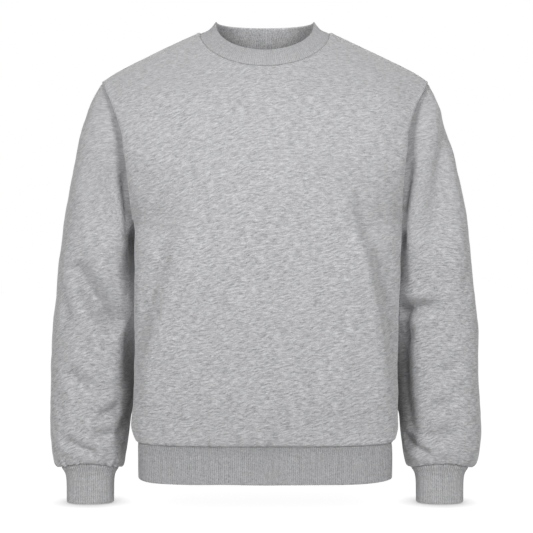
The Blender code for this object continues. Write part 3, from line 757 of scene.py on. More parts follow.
def make_sleeve(side):
    count = 152
    # The grid starts at the underarm seam and goes round by the back.
    turns = math.pi - 2 * math.pi * graded(count + 1, lambda x: 1 - 0.6 * (
        np.exp(-x / 0.012) + np.exp(-(1 - x) / 0.012)))
    rows_dense = np.linspace(0, 13, 1400)
    line = loft(sleeve, rows_dense, np.array([0.0, math.pi / 2, -math.pi / 2, 2.4]), side)
    along = np.mean([lengths(line[:, i]) for i in range(4)], 0)

    def spacing(x):
        s = x * along[-1]
        z = np.interp(s, along, line[:, 1, 2])
        return (
            3.9 - 3.1 * np.exp(-s / 0.010) - 2.9 * np.exp(-(along[-1] - s) / 0.012)
            - 1.9 * np.exp(-((z + 0.398) / 0.020) ** 2) * (side > 0)
            - 1.3 * np.exp(-((z + 0.62) / 0.035) ** 2)
        )
    rows = np.interp(graded(186, spacing) * along[-1], along, rows_dense)
    square = (1.4 if side < 0 else 1.05) * ease(rows / 4) * ease((13.2 - rows) / 4)
    grid = loft(sleeve, rows, turns, side, square[:, None])
    seam = armhole_line(turns, side)
    keep = np.clip(1 - rows / 3, 0, 1) ** 2
    grid = grid + keep[:, None, None] * (armhole_line(turns, side, True) - grid[0])[None]
    cloth = Cloth(grid, -side)
    for face, path, wide, deep, ends, lips, lean in SLEEVE_FOLDS[side]:
        fold(cloth, face, path, wide, deep, ends, lips, lean)
    under = np.minimum(cloth.left, cloth.right)
    quiet = ease(cloth.low / 0.035) * ease(cloth.high / 0.012)
    shift = np.array([0.3 * side, 0.1, 0.2])
    cloth.d *= quiet
    damped = cloth.d
    cloth.d = np.zeros(damped.shape)
    for face, path, wide, deep, ends, lips, lean in ARM_FOLDS[side]:
        fold(cloth, face, path, wide, deep, ends, lips, lean)
    cloth.d = damped + cloth.d * ease(cloth.low / 0.005)
    quiet = quiet * (0.25 + 0.75 * ease(under / 0.03))
    cloth.d += (0.0009 * calm(cloth.p + shift) + 0.00018 * fine(cloth.p + shift)) * quiet
    head = Ripple(40 + side, 0.009, 0.022)
    wrist = Ripple(50 + side, 0.007, 0.017)
    cloth.d += 0.00035 * head(cloth.u[0])[None] * gathers(cloth.low, 0.006, 0.022)
    cloth.d += 0.00100 * wrist(cloth.u[-1])[None] * gathers(cloth.high, 0.0065, 0.024)
    cloth.d += seam_dip(cloth.high, 0.0022, 0.0013, 0.0005) + seam_dip(cloth.low, 0.0007)
    dip = seam_dip(under)
    cloth.d += dip
    # One line down the underarm seam for both edges.
    both = cloth.n[:, 0] + cloth.n[:, -1]
    both /= np.linalg.norm(both, axis=1, keepdims=True)
    blend = np.exp(-(under / 0.008) ** 2)[..., None]
    cloth.n = cloth.n * (1 - blend) + both[:, None] * blend
    cloth.n /= np.linalg.norm(cloth.n, axis=2, keepdims=True)
    middle = (cloth.d[:, 0] + cloth.d[:, -1]) / 2
    cloth.d += np.exp(-(cloth.left / 0.006) ** 2) * (middle - cloth.d[:, 0])[:, None]
    cloth.d += np.exp(-(cloth.right / 0.006) ** 2) * (middle - cloth.d[:, -1])[:, None]
    cloth.settle()
    moved = seam - armhole_line(turns, side, True)
    reach = through(
        (-0.289, -0.250, -0.200, -0.160, -0.125, -0.0765),
        (0.0290, 0.0290, 0.0230, 0.0160, 0.0095, 0.0070) if side < 0
        else (0.0290, 0.0295, 0.0270, 0.0210, 0.0120, 0.0070), seam[:, 2])
    near = cloth.low[:, 0] < 0.12
    p = cloth.p[near]
    gap = np.linalg.norm(p[:, :, None] - cloth.p[0][None, None], axis=3)
    share = np.exp(-(gap ** 2 - gap.min(2, keepdims=True) ** 2) / (2 * 0.004 ** 2))
    share /= share.sum(2, keepdims=True)
    spread = share @ reach
    p = p + np.exp(-(gap.min(2) / spread) ** 1.4)[..., None] * (share @ moved)
    cloth.p = np.concatenate([p, cloth.p[~near]])
    shift = seam - cloth.p[0]
    cloth.p = cloth.p + np.exp(-(cloth.low / 0.005) ** 1.5)[..., None] * shift[None]
    cloth.p[:, -1] = cloth.p[:, 0]
    cloth.n = cloth.normals()
    cloth.place = np.stack([cloth.place[..., 0] * side, cloth.high], -1)
    return cloth


sleeves = {side: make_sleeve(side) for side in (-1, 1)}

# ------------------------------------------------------------------ ribs

WALE = 0.00293           # pitch of the 1x1 rib
SAMPLES = 6              # grid columns to a wale


def rib_band(rings, wall, height, seed, gather=1.0):
    """A doubled rib band from its outer rings, seam first and free edge last.

    The profile runs up the outside, over the rounded free edge and back down
    the inside, and each wale is a real ridge all the way.
    """
    outer = Cloth(rings, 1, closed=True)
    flip = np.sign((outer.n * (outer.p - outer.p.mean((0, 1)))).sum(2).mean())
    n = outer.n * flip
    count = rings.shape[1]
    phase = np.arange(count) / SAMPLES
    wale = np.abs(np.sin(math.pi * phase)) ** 0.75
    rng = np.random.default_rng(seed)
    uneven = np.repeat(1 + rng.normal(0, 0.10, count // SAMPLES), SAMPLES)
    up = np.gradient(outer.p, axis=0)
    up /= np.linalg.norm(up, axis=2, keepdims=True)
    r = wall / 2
    core = outer.p - n * r
    e = outer.low
    level = ease(e / 0.003) * 0.7 + 0.3
    lines, ways, sizes, runs = [], [], [], []
    v = np.cumsum(np.concatenate([[0], np.linalg.norm(np.diff(outer.p, axis=0), axis=2).mean(1)]))
    for i in range(len(rings)):
        lines.append(core[i]), ways.append(n[i]), sizes.append(level[i]), runs.append(v[i])
    for a in np.linspace(0, math.pi, 9)[1:-1]:
        way = n[-1] * math.cos(a) + up[-1] * math.sin(a)
        lines.append(core[-1]), ways.append(way), sizes.append(level[-1]), runs.append(v[-1] + r * a)
    for i in range(len(rings) - 1, -1, -1):
        lines.append(core[i]), ways.append(-n[i]), sizes.append(level[i])
        runs.append(v[-1] + r * math.pi + (v[-1] - v[i]))
    lines, ways, sizes = np.array(lines), np.array(ways), np.array(sizes)
    lift = height * (wale * uneven)[None] * sizes - height * 0.6
    grid = lines + ways * (r + lift)[..., None]
    return grid, np.array(runs), flip


def by_wales(ring, count, start=0.0):
    """A closed ring of points set out evenly, count wales round."""
    closed = np.concatenate([ring, ring[:1]])
    s = lengths(closed)
    at = (np.arange(count * SAMPLES) / (count * SAMPLES) + start) % 1.0
    return at * s[-1], s, closed


def ring_at(closed, s, at):
    return np.stack([np.interp(at, s, c) for c in closed.T], 1)


# Waistband: from the panels' bottom edges down.
def waist_ring(height, k):
    """Ring points for columns k from 0 to 12 on each quarter."""
    side_share = np.sin(np.radians(90 * np.minimum(k, COLUMNS) / COLUMNS))
    fold_out = np.where(
        (k < COLUMNS) & (k / COLUMNS > 0.45),
        np.sin(np.pi * np.clip((k / COLUMNS - 0.45) / 0.55, 0, 1) ** 1.8), 0.0)
    w = {n: waistband(n, height) for n in waistband.curves}
    scale = w["half_width"] / waistband("half_width", HEM_Z)
    quarter = {}
    for side in ("front", "back"):
        x = body("half_width", HEM_Z) * side_share
        x = x + body("fold", HEM_Z) * fold_out * (1.0 if side == "front" else 0.25)
        y = w[side] * np.clip(1 - side_share ** w["square"], 0, 1) ** (0.64 / w["square"])
        y = y + SEAM_STRIP * np.clip(COLUMNS + 1 - k, 0, 1)
        quarter[side] = np.stack([x * scale, y, np.full_like(x, height)], 1)
    f, b = quarter["front"], quarter["back"]
    return np.concatenate([
        f * (1, -1, 1), (b * (1, 1, 1))[::-1][1:],
        (b * (-1, 1, 1))[1:], (f * (-1, -1, 1))[::-1][1:-1],
    ])


k_dense = np.concatenate([np.linspace(0, COLUMNS, 1200), np.linspace(COLUMNS, COLUMNS + 1, 12)[1:]])
heights = HEM_Z + (-0.676 + RIB / 2 - HEM_Z) * graded(18, lambda x: 1 - 0.72 * np.exp(-x / 0.06))
raw = [waist_ring(h, k_dense) for h in heights]
girth = lengths(np.concatenate([raw[9], raw[9][:1]]))[-1]
wales = int(round(girth / (WALE * 1.01)))
rings = []
for ring in raw:
    at, s, closed = by_wales(ring, wales)
    rings.append(ring_at(closed, s, at))
hem_rings = np.array(rings)
# Bottom edges of the panels, by x, to meet the band.
edge = {}
for cloth, name in ((front, "front"), (back, "back")):
    line = cloth.p[0]
    edge[name] = line[np.argsort(line[:, 0])]
top = hem_rings[0]
target = top.copy()
for name, mine in (("front", top[:, 1] < 0), ("back", top[:, 1] >= 0)):
    line = edge[name]
    # by angle, so that the steep ends match as well
    angle = np.arctan2(line[:, 0], np.abs(line[:, 1]))
    want = np.arctan2(top[mine, 0], np.abs(top[mine, 1]))
    target[mine] = np.stack([np.interp(want, angle, line[:, c]) for c in range(3)], 1)
hem_cloth = Cloth(hem_rings, 1, closed=True)
down = hem_cloth.low
wavy = Ripple(71, 0.05, 0.19)
around = np.linspace(0, girth, hem_rings.shape[1], endpoint=False)
hem_rings = hem_rings + ease(1 - down / 0.0035)[..., None] * (target - top)[None]
out = hem_rings.copy()
out[..., 2] = 0
out /= np.maximum(np.linalg.norm(out, axis=2, keepdims=True), 1e-9)
hem_rings = hem_rings + out * (0.0005 * wavy(around)[None] * ease(down / 0.02))[..., None]
hem_rings[..., 2] += 0.00025 * Ripple(72, 0.09, 0.3)(around)[None] * ease(down / 0.05)
# The free edge lifts a little towards the side seams.
lifted = np.clip(np.abs(hem_rings[..., 0]) / 0.19, 0, 1) ** 9
hem_rings[..., 2] += (0.0010 + 0.0038 * lifted) * ease(down / 0.05)

# Cuffs, from the sleeves' last rows down.
cuff_rings = {}
for side in (-1, 1):
    cuff_rows = np.linspace(0, 4, 900)
    line = loft(cuff, cuff_rows, np.array([0.0, math.pi / 2]), side)
    along = lengths(line[:, 0])
    rows = np.interp(
        graded(24, lambda x: 1 - 0.7 * np.exp(-x / 0.06)) * (along[-1] - RIB / 2), along, cuff_rows)
    dense = math.pi - 2 * math.pi * np.linspace(0, 1, 721)[:-1]
    grid = loft(cuff, rows, dense, side)
    number = int(round(lengths(np.concatenate([grid[18], grid[18][:1]]))[-1] / WALE))
    made = []
    for ring in grid:
        at, s, closed = by_wales(ring, number)
        made.append(ring_at(closed, s, at))
    made = np.array(made)
    last = sleeves[side].p[-1]
    s = lengths(last)
    share = lengths(np.concatenate([made[0], made[0][:1]]))
    want = ring_at(last, s, share[:-1] / share[-1] * s[-1])
    e = Cloth(made, 1, closed=True).low
    made = made + ease(1 - e / 0.004)[..., None] * (want - made[0])[None]
    cuff_rings[side] = made

# Neck band, from the panels' neck edges up.
low = np.concatenate([front.p[-1], back.p[-1][::-1][1:-1]])
order = np.arctan2(low[:, 1], low[:, 0])
front_y, back_y = -front.p[-1][:, 1].min(), back.p[-1][:, 1].max()
dense = 2 * math.pi * np.linspace(0, 1, 1441)[:-1] - math.pi / 2
turn = np.arctan2(low[:, 1] / np.where(low[:, 1] > 0, back_y, front_y), low[:, 0] / NECK_HALF)
turn = (turn + math.pi / 2) % (2 * math.pi)
pick = np.argsort(turn)
turn, low = turn[pick], low[pick]
turn = np.concatenate([turn[-3:] - 2 * math.pi, turn, turn[:3] + 2 * math.pi])
low = np.concatenate([low[-3:], low, low[:3]])
seam_ring = np.stack([np.interp(dense + math.pi / 2, turn, low[:, c]) for c in range(3)], 1)
c, s = np.cos(dense), np.sin(dense)
rise = np.abs(s) ** np.where(s > 0, 1.6, 0.95)
end_z = np.where(s > 0, BAND_BACK_Z, BAND_FRONT_Z)
free_ring = np.stack([
    BAND_TOP_HALF * c, BAND_TOP_DEPTH * s, BAND_SIDE_Z * (1 - rise) + end_z * rise], 1)
shares = graded(16, lambda x: 1 - 0.7 * np.exp(-x / 0.07))
tall = np.linalg.norm(free_ring - seam_ring, axis=1)
shares = shares * (1 - (RIB / 2) / tall.mean())
proud = 0.0020 * s * s - 0.0032 * c ** 6
made = []
for u in shares:
    p = seam_ring + (free_ring - seam_ring) * u
    flat = p[:, :2] / np.linalg.norm(p[:, :2], axis=1, keepdims=True)
    swell = proud * 4 * u * (1 - u) + 0.0007 * ease(u / 0.12)
    p[:, :2] += flat * (swell * 0.7)[:, None]
    p[:, 2] += swell * 0.6
    made.append(p)
made = np.array(made)
number = int(round(lengths(np.concatenate([made[6], made[6][:1]]))[-1] / WALE))
mid_s = lengths(np.concatenate([made[6], made[6][:1]]))
share_at = np.interp(
    np.arange(number * SAMPLES) / (number * SAMPLES) * mid_s[-1], mid_s, np.linspace(0, 1, 1441))
neck_grid = []
for ring in made:
    closed = np.concatenate([ring, ring[:1]])
    neck_grid.append(ring_at(closed, np.linspace(0, 1, 1441), share_at))
neck_rings = np.array(neck_grid)

# ------------------------------------------------------------- materials


class Shader:
    """A small helper that adds and joins nodes."""

    def __init__(self, name):
        self.material = bpy.data.materials.new(name)
        self.material.use_nodes = True
        self.tree = self.material.node_tree
        self.tree.nodes.clear()
        self.out = self.add("ShaderNodeOutputMaterial")
        self.main = self.add("ShaderNodeBsdfPrincipled")
        self.link(self.main.outputs[0], self.out.inputs["Surface"])

    def add(self, kind, **values):
        node = self.tree.nodes.new(kind)
        for name, value in values.items():
            setattr(node, name, value)
        return node

    def link(self, a, b):
        self.tree.links.new(a, b)

    def feed(self, socket, value):
        if isinstance(value, bpy.types.NodeSocket):
            self.link(value, socket)
        else:
            socket.default_value = value

    def maths(self, operation, *values):
        node = self.add("ShaderNodeMath", operation=operation)
        for socket, value in zip(node.inputs, values):
            self.feed(socket, value)
        return node.outputs[0]

    def cloth_place(self):
        return self.add("ShaderNodeUVMap", uv_map="cloth").outputs[0]

    def object_place(self):
        return self.add("ShaderNodeTexCoord").outputs["Object"]

    def turned(self, place, degrees, size):
        """Coordinates along a turned direction, counted in cells of a size."""
        node = self.add("ShaderNodeMapping", vector_type="TEXTURE")
        self.link(place, node.inputs["Vector"])
        node.inputs["Rotation"].default_value = (0, 0, math.radians(degrees))
        node.inputs["Scale"].default_value = size
        return node.outputs[0]

    def noise(self, place, scale=1.0, detail=2.0, rough=0.5, colour=False, dims="3D"):
        node = self.add("ShaderNodeTexNoise", noise_dimensions=dims)
        self.link(place, node.inputs["Vector"])
        node.inputs["Scale"].default_value = scale
        node.inputs["Detail"].default_value = detail
        node.inputs["Roughness"].default_value = rough
        return node.outputs["Color" if colour else "Fac"]

    def bent(self, place, scale, by):
        """Coordinates pushed about by a slow noise."""
        drift = self.noise(place, scale, 1.0, 0.5, colour=True, dims="2D")
        centred = self.add("ShaderNodeVectorMath", operation="SUBTRACT")
        self.link(drift, centred.inputs[0])
        centred.inputs[1].default_value = (0.5, 0.5, 0.5)
        scaled = self.add("ShaderNodeVectorMath", operation="SCALE")
        self.link(centred.outputs[0], scaled.inputs[0])
        scaled.inputs["Scale"].default_value = by
        total = self.add("ShaderNodeVectorMath", operation="ADD")
        self.link(place, total.inputs[0])
        self.link(scaled.outputs[0], total.inputs[1])
        return total.outputs[0]

    def ramp(self, value, stops):
        node = self.add("ShaderNodeValToRGB")
        self.link(value, node.inputs["Fac"])
        ramp = node.color_ramp
        while len(ramp.elements) < len(stops):
            ramp.elements.new(0.5)
        for element, (at, shade) in zip(ramp.elements, stops):
            element.position = at
            element.color = (shade, shade, shade, 1)
        return node.outputs[0]

    def stretch(self, value, low, high, to_low=0.0, to_high=1.0):
        node = self.add("ShaderNodeMapRange")
        self.feed(node.inputs["Value"], value)
        for name, x in zip(("From Min", "From Max", "To Min", "To Max"), (low, high, to_low, to_high)):
            node.inputs[name].default_value = x
        return node.outputs[0]

    def bump(self, height, distance, strength, normal=None):
        node = self.add("ShaderNodeBump")
        node.inputs["Strength"].default_value = strength
        node.inputs["Distance"].default_value = distance
        self.link(height, node.inputs["Height"])
        if normal is not None:
            self.link(normal, node.inputs["Normal"])
        return node.outputs[0]


def jersey(name, base, slant, low, high, painted_zone):
    """Melange jersey: short light and dark streaks over fine knit columns.

    The last argument gives the x and y ranges of the cloth lying between the
    body and a sleeve, whose colour carries painted shade low down and painted
    light higher up."""
    s = Shader(name)
    place = s.cloth_place()
    drifted = s.bent(place, 45.0, 0.006)

    def streak(turn, size, detail):
        value = s.noise(s.turned(drifted, slant + turn, (*size, 1)), 1.0, detail, 0.55, dims="2D")
        return s.stretch(value, 0.25, 0.75, -1.0, 1.0)

    a = streak(0, (0.0105, 0.0023), 2.0)
    b = streak(4, (0.0058, 0.00125), 1.0)
    grain = s.noise(place, 620.0, 1.0, 0.6, dims="2D")
    flecks = s.noise(s.turned(drifted, slant - 7, (0.0038, 0.00075, 1)), 1.0, 0.0, 0.5, dims="2D")
    mottle = streak(2, (0.0230, 0.0085), 1.0)
    c = s.stretch(flecks, 0.60, 0.78, 0.0, 1.0)
    e = s.stretch(grain, 0.25, 0.75, -1.0, 1.0)
    tone = s.maths("ADD", s.maths("MULTIPLY", a, 0.235), s.maths("MULTIPLY", b, 0.13))
    tone = s.maths("ADD", tone, s.maths("MULTIPLY", c, 0.13))
    tone = s.maths("ADD", tone, s.maths("MULTIPLY", e, 0.13))
    tone = s.maths("ADD", tone, s.maths("MULTIPLY", mottle, 0.055))
    # Knit loops: two slanted legs to a wale, wales 1.15 mm apart.
    split = s.add("ShaderNodeSeparateXYZ")
    s.link(place, split.inputs[0])
    # The melange shows a little more strongly towards the bottom of each piece.
    tone = s.maths("MULTIPLY", tone, s.stretch(split.outputs[1], 0.30, 0.44, low, high))
    wale = s.maths("MULTIPLY", split.outputs[0], 2 * math.pi / 0.00115)
    leg = s.maths("ABSOLUTE", s.maths("SINE", s.maths("MULTIPLY", wale, 0.5)))
    course = s.maths("MULTIPLY", split.outputs[1], 2 * math.pi / 0.00085)
    vee = s.maths("SINE", s.maths("ADD", course, s.maths("MULTIPLY", leg, 2.4)))
    loops = s.maths("ADD", s.maths("MULTIPLY", leg, 0.6), s.maths("MULTIPLY", vee, 0.3))
    tone = s.maths("ADD", tone, s.maths("MULTIPLY", s.maths("SUBTRACT", loops, 0.38), 0.05))
    factor = s.maths("ADD", tone, 1.0)
    where = s.add("ShaderNodeSeparateXYZ")
    s.link(s.object_place(), where.inputs[0])
    x, y, z = where.outputs
    # Painted shade and painted light on the cloth between the body and a sleeve, by where it sits.
    painted_gap_mask = s.maths(
        "MULTIPLY", s.stretch(s.maths("ABSOLUTE", x), *painted_zone[0]),
        s.stretch(s.maths("ABSOLUTE", s.maths("SUBTRACT", y, 0.005)), *painted_zone[1]))
    # Painted shade: lower down the colour is darkened, by up to 60%.
    deep = s.maths("MULTIPLY", s.stretch(z, -0.470, -0.540), s.stretch(z, -0.612, -0.588, 0.0, 0.6))
    # Painted light: higher up, where the two nearly touch, the colour is lightened, by up to 45%.
    near = s.maths("MULTIPLY", s.stretch(z, -0.365, -0.400), s.stretch(z, -0.475, -0.445, 0.0, 0.45))
    painted_gap_light_shade = s.maths("MULTIPLY", painted_gap_mask, s.maths("SUBTRACT", near, deep))
    factor = s.maths("MULTIPLY", factor, s.maths("ADD", 1.0, painted_gap_light_shade))
    colour = s.add("ShaderNodeVectorMath", operation="SCALE")
    colour.inputs[0].default_value = base
    s.link(factor, colour.inputs["Scale"])
    s.link(colour.outputs[0], s.main.inputs["Base Color"])
    streak_height = s.maths("ADD", s.maths("MULTIPLY", a, 0.6), s.maths("MULTIPLY", b, 0.4))
    low_bump = s.bump(streak_height, 0.00045, 0.8)
    s.link(s.bump(loops, 0.00012, 0.45, low_bump), s.main.inputs["Normal"])
    s.main.inputs["Roughness"].default_value = 0.95
    s.main.inputs["Specular IOR Level"].default_value = 0.12
    s.main.inputs["Sheen Weight"].default_value = 0.58
    s.main.inputs["Sheen Roughness"].default_value = 0.5
    return s.material


def fleece(name, base):
    """The brushed inside: soft, matted and without streaks."""
    s = Shader(name)
    place = s.object_place()
    tuft = s.noise(place, 420.0, 3.0, 0.6)
    mat = s.noise(place, 90.0, 2.0, 0.5)
    tone = s.maths("ADD", s.stretch(tuft, 0.25, 0.75, 0.90, 1.08), s.stretch(mat, 0.25, 0.75, -0.05, 0.05))
    colour = s.add("ShaderNodeVectorMath", operation="SCALE")
    colour.inputs[0].default_value = base
    s.link(tone, colour.inputs["Scale"])
    s.link(colour.outputs[0], s.main.inputs["Base Color"])
    s.link(s.bump(tuft, 0.0006, 0.7), s.main.inputs["Normal"])
    s.main.inputs["Roughness"].default_value = 1.0
    s.main.inputs["Specular IOR Level"].default_value = 0.08
    s.main.inputs["Sheen Weight"].default_value = 0.20
    s.main.inputs["Sheen Roughness"].default_value = 0.6
    return s.material


def ribbing(name, base, groove_shade, mixed, depth=None, seam=0.0):
    """1x1 rib: the wales are modelled, this adds stitches, melange and painted shade
    between the wales.

    depth gives two heights and the share of the colour at each, a painted shade
    and painted light by height, and seam how much darker the last 2 mm to the seam
    are painted, a painted shade of the seam that is strongest in front."""
    s = Shader(name)
    place = s.cloth_place()

    def spots(turn, size, detail):
        value = s.noise(s.turned(place, turn, (*size, 1)), 1.0, detail, 0.55, dims="2D")
        return s.stretch(value, 0.25, 0.75, -1.0, 1.0)

    a = spots(90, (0.0060, 0.0012), 1.0)
    b = spots(75, (0.0024, 0.0010), 1.0)
    c = spots(90, (0.0500, 0.0030), 0.0)
    d = spots(20, (0.0120, 0.0050), 1.0)
    split = s.add("ShaderNodeSeparateXYZ")
    s.link(place, split.inputs[0])
    wale = s.maths("MULTIPLY", split.outputs[0], math.pi / WALE)
    leg = s.maths("ABSOLUTE", s.maths("SINE", s.maths("MULTIPLY", wale, 2.0)))
    course = s.maths("MULTIPLY", split.outputs[1], 2 * math.pi / 0.00135)
    vee = s.maths("SINE", s.maths("ADD", course, s.maths("MULTIPLY", leg, 2.2)))
    crest = s.maths("ABSOLUTE", s.maths("SINE", wale))
    low = s.maths("POWER", s.maths("SUBTRACT", 1.0, crest), 2.0)
    tone = s.maths("ADD", s.maths("MULTIPLY", a, 0.11), s.maths("MULTIPLY", b, 0.23))
    tone = s.maths("ADD", tone, s.maths("MULTIPLY", d, 0.06))
    tone = s.maths("ADD", tone, s.maths("MULTIPLY", c, 0.05))
    tone = s.maths("MULTIPLY", tone, mixed)
    tone = s.maths("ADD", tone, s.maths("MULTIPLY", vee, 0.035))
    # Painted shade: the colour is darkened between the modelled wales.
    tone = s.maths("SUBTRACT", tone, s.maths("MULTIPLY", low, groove_shade))
    factor = s.maths("ADD", tone, 1.0)
    # Painted shade and painted light by height, where depth is given.
    if depth:
        height = s.add("ShaderNodeSeparateXYZ")
        s.link(s.object_place(), height.inputs[0])
        factor = s.maths("MULTIPLY", factor, s.stretch(height.outputs[2], *depth))
    # Painted shade along the seam, strongest in front, where seam is given.
    if seam:
        height = s.add("ShaderNodeSeparateXYZ")
        s.link(s.object_place(), height.inputs[0])
        shade = s.maths(
            "MULTIPLY", s.stretch(split.outputs[1], 0.0, 0.0021, seam, 0.0),
            s.stretch(height.outputs[2], -0.050, -0.010, 1.0, 0.25))
        factor = s.maths("MULTIPLY", factor, s.maths("SUBTRACT", 1.0, shade))
    colour = s.add("ShaderNodeVectorMath", operation="SCALE")
    colour.inputs[0].default_value = base
    s.link(factor, colour.inputs["Scale"])
    s.link(colour.outputs[0], s.main.inputs["Base Color"])
    s.link(s.bump(vee, 0.00018, 0.6), s.main.inputs["Normal"])
    s.main.inputs["Roughness"].default_value = 0.93
    s.main.inputs["Specular IOR Level"].default_value = 0.12
    s.main.inputs["Sheen Weight"].default_value = 0.20
    s.main.inputs["Sheen Roughness"].default_value = 0.5
    return s.material


GREY = (0.455, 0.455, 0.466)
# Ranges of the painted shade and painted light between the body and the sleeves.
BODY_PAINTED_ZONE = ((0.178, 0.190), (0.062, 0.044))
SLEEVE_PAINTED_ZONE = ((0.223, 0.208), (0.070, 0.050))
cloth_front = jersey("jersey_body", GREY, 11, 1.17, 1.02, BODY_PAINTED_ZONE)
cloth_left = jersey("jersey_sleeve_left", GREY, 7, 1.22, 0.92, SLEEVE_PAINTED_ZONE)
cloth_right = jersey("jersey_sleeve_right", GREY, 13, 1.18, 0.95, SLEEVE_PAINTED_ZONE)
inside = fleece("fleece_inside", (0.46, 0.46, 0.47))
# The waistband's rib is set darker than the neck's; the cuffs' rib is a lighter copy, painted light for the cuffs.
waist_rib = ribbing("rib_waist", (0.431, 0.431, 0.442), 0.30, 1.0)
cuff_rib_painted_light = ribbing("rib_cuffs", (0.511, 0.511, 0.522), 0.40, 1.0)
# The neck rib carries a painted shade line along its seam.
neck_rib = ribbing("rib_neck", (0.468, 0.468, 0.479), 0.24, 0.75, seam=0.48)
# Painted light and shade: the inside of the neck band is a lighter copy of the neck rib, darkened towards the
# bottom and lightened towards the top, for light lost down inside the neck.
neck_inside_painted = ribbing(
    "rib_neck_inside", (0.535, 0.535, 0.547), 0.36, 1.3, depth=(-0.014, 0.016, 0.62, 1.22))

# ---------------------------------------------------------------- meshes

wardrobe = bpy.data.collections.new("sweatshirt_cloth")
bpy.context.scene.collection.children.link(wardrobe)


def mesh_of(name, points, quads, uv, materials, which=None):
    """A smooth mesh from points, four-cornered faces and per-corner places."""
    mesh = bpy.data.meshes.new(name)
    mesh.vertices.add(len(points))
    mesh.vertices.foreach_set("co", points.astype(np.float32).ravel())
    mesh.loops.add(quads.size)
    mesh.loops.foreach_set("vertex_index", quads.astype(np.int32).ravel())
    mesh.polygons.add(len(quads))
    mesh.polygons.foreach_set("loop_start", np.arange(0, quads.size, 4, dtype=np.int32))
    mesh.polygons.foreach_set("loop_total", np.full(len(quads), 4, np.int32))
    if which is not None:
        mesh.polygons.foreach_set("material_index", which.astype(np.int32))
    mesh.update(calc_edges=True)
    layer = mesh.uv_layers.new(name="cloth")
    layer.uv.foreach_set("vector", uv.astype(np.float32).ravel())
    mesh.validate()
    mesh.shade_smooth()
    for m in materials:
        mesh.materials.append(m)
    made = bpy.data.objects.new(name, mesh)
    wardrobe.objects.link(made)
    return made


def shell(name, cloth, wall, materials, joined=False):
    """A closed thin wall on a grid: outside, inside and its edges."""
    rows, cols = cloth.p.shape[:2]
    outer = cloth.p
    inner = cloth.p - cloth.n * wall
    if joined:
        inner[:, -1] = inner[:, 0] = (inner[:, 0] + inner[:, -1]) / 2
        cols_used = cols - 1
    else:
        cols_used = cols
    index = np.arange(rows * cols_used).reshape(rows, cols_used)
    if joined:
        index = np.concatenate([index, index[:, :1]], 1)
    points = np.concatenate([
        outer[:, :cols_used].reshape(-1, 3), inner[:, :cols_used].reshape(-1, 3)])
    n = rows * cols_used
    a, b = index[:-1, :-1], index[:-1, 1:]
    c, d = index[1:, 1:], index[1:, :-1]
    out = np.stack([a, b, c, d], -1).reshape(-1, 4)
    if cloth.turn < 0:
        out = out[:, ::-1]
    inn = out[:, ::-1] + n
    uv = cloth.place
    uva, uvb, uvc, uvd = uv[:-1, :-1], uv[:-1, 1:], uv[1:, 1:], uv[1:, :-1]
    uv_out = np.stack([uva, uvb, uvc, uvd], 2).reshape(-1, 4, 2)
    if cloth.turn < 0:
        uv_out = uv_out[:, ::-1]
    uv_in = uv_out[:, ::-1]
    rims, rim_uv = [], []

    def rim(line, flip, places):
        p, q = line[:-1], line[1:]
        face = np.stack([q, p, p + n, q + n], -1)
        spots = np.stack([places[1:], places[:-1], places[:-1], places[1:]], 1)
        if flip:
            face, spots = face[:, ::-1], spots[:, ::-1]
        rims.append(face)
        rim_uv.append(spots)

    turned = cloth.turn < 0
    rim(index[0], turned, uv[0])
    rim(index[-1][::-1], turned, uv[-1][::-1])
    if not joined:
        rim(index[:, -1], turned, uv[:, -1])
        rim(index[:, 0][::-1], turned, uv[:, 0][::-1])
    rims, rim_uv = np.concatenate(rims), np.concatenate(rim_uv)
    quads = np.concatenate([out, inn, rims])
    which = np.concatenate([
        np.zeros(len(out)), np.ones(len(inn)), np.zeros(len(rims))])
    return mesh_of(
        name, points, quads, np.concatenate([uv_out, uv_in, rim_uv]), materials, which)


def band(name, rings, wall, height, seed, materials):
    """A ribbed band, closed all round and over its free edge."""
    grid, runs, flip = rib_band(rings, wall, height, seed)
    rows, cols = grid.shape[:2]
    index = np.arange(rows * cols).reshape(rows, cols)
    index = np.concatenate([index, index[:, :1]], 1)
    index = np.concatenate([index, index[:1]], 0)
    a, b = index[:-1, :-1], index[:-1, 1:]
    c, d = index[1:, 1:], index[1:, :-1]
    quads = np.stack([a, b, c, d], -1).reshape(-1, 4)
    u = np.arange(cols + 1) / SAMPLES * WALE
    v = np.concatenate([runs, [runs[-1] + wall]])
    uu, vv = np.meshgrid(u, v)
    uv = np.stack([uu, vv], -1)
    uv4 = np.stack([uv[:-1, :-1], uv[:-1, 1:], uv[1:, 1:], uv[1:, :-1]], 2).reshape(-1, 4, 2)
    if flip < 0:
        quads, uv4 = quads[:, ::-1], uv4[:, ::-1]
    which = np.repeat(np.arange(rows) >= len(rings) + 4, cols).astype(float)
    return mesh_of(
        name, grid.reshape(-1, 3), quads, uv4, materials,
        which if len(materials) > 1 else None)


pieces = {
    "front": shell("front_cloth", front, JERSEY, [cloth_front, inside]),
    "back": shell("back_cloth", back, JERSEY, [cloth_front, inside]),
    "left": shell("sleeve_left_cloth", sleeves[1], JERSEY, [cloth_left, inside], joined=True),
    "right": shell("sleeve_right_cloth", sleeves[-1], JERSEY, [cloth_right, inside], joined=True),
    "hem": band("hem_rib_knit", hem_rings, RIB, 0.00055, 81, [waist_rib]),
    "neck": band("neck_rib_knit", neck_rings, RIB, 0.00050, 82, [neck_rib, neck_inside_painted]),
    "cuff_left": band("cuff_left_knit", cuff_rings[1], RIB, 0.00055, 83, [cuff_rib_painted_light]),
    "cuff_right": band("cuff_right_knit", cuff_rings[-1], RIB, 0.00055, 84, [cuff_rib_painted_light]),
}

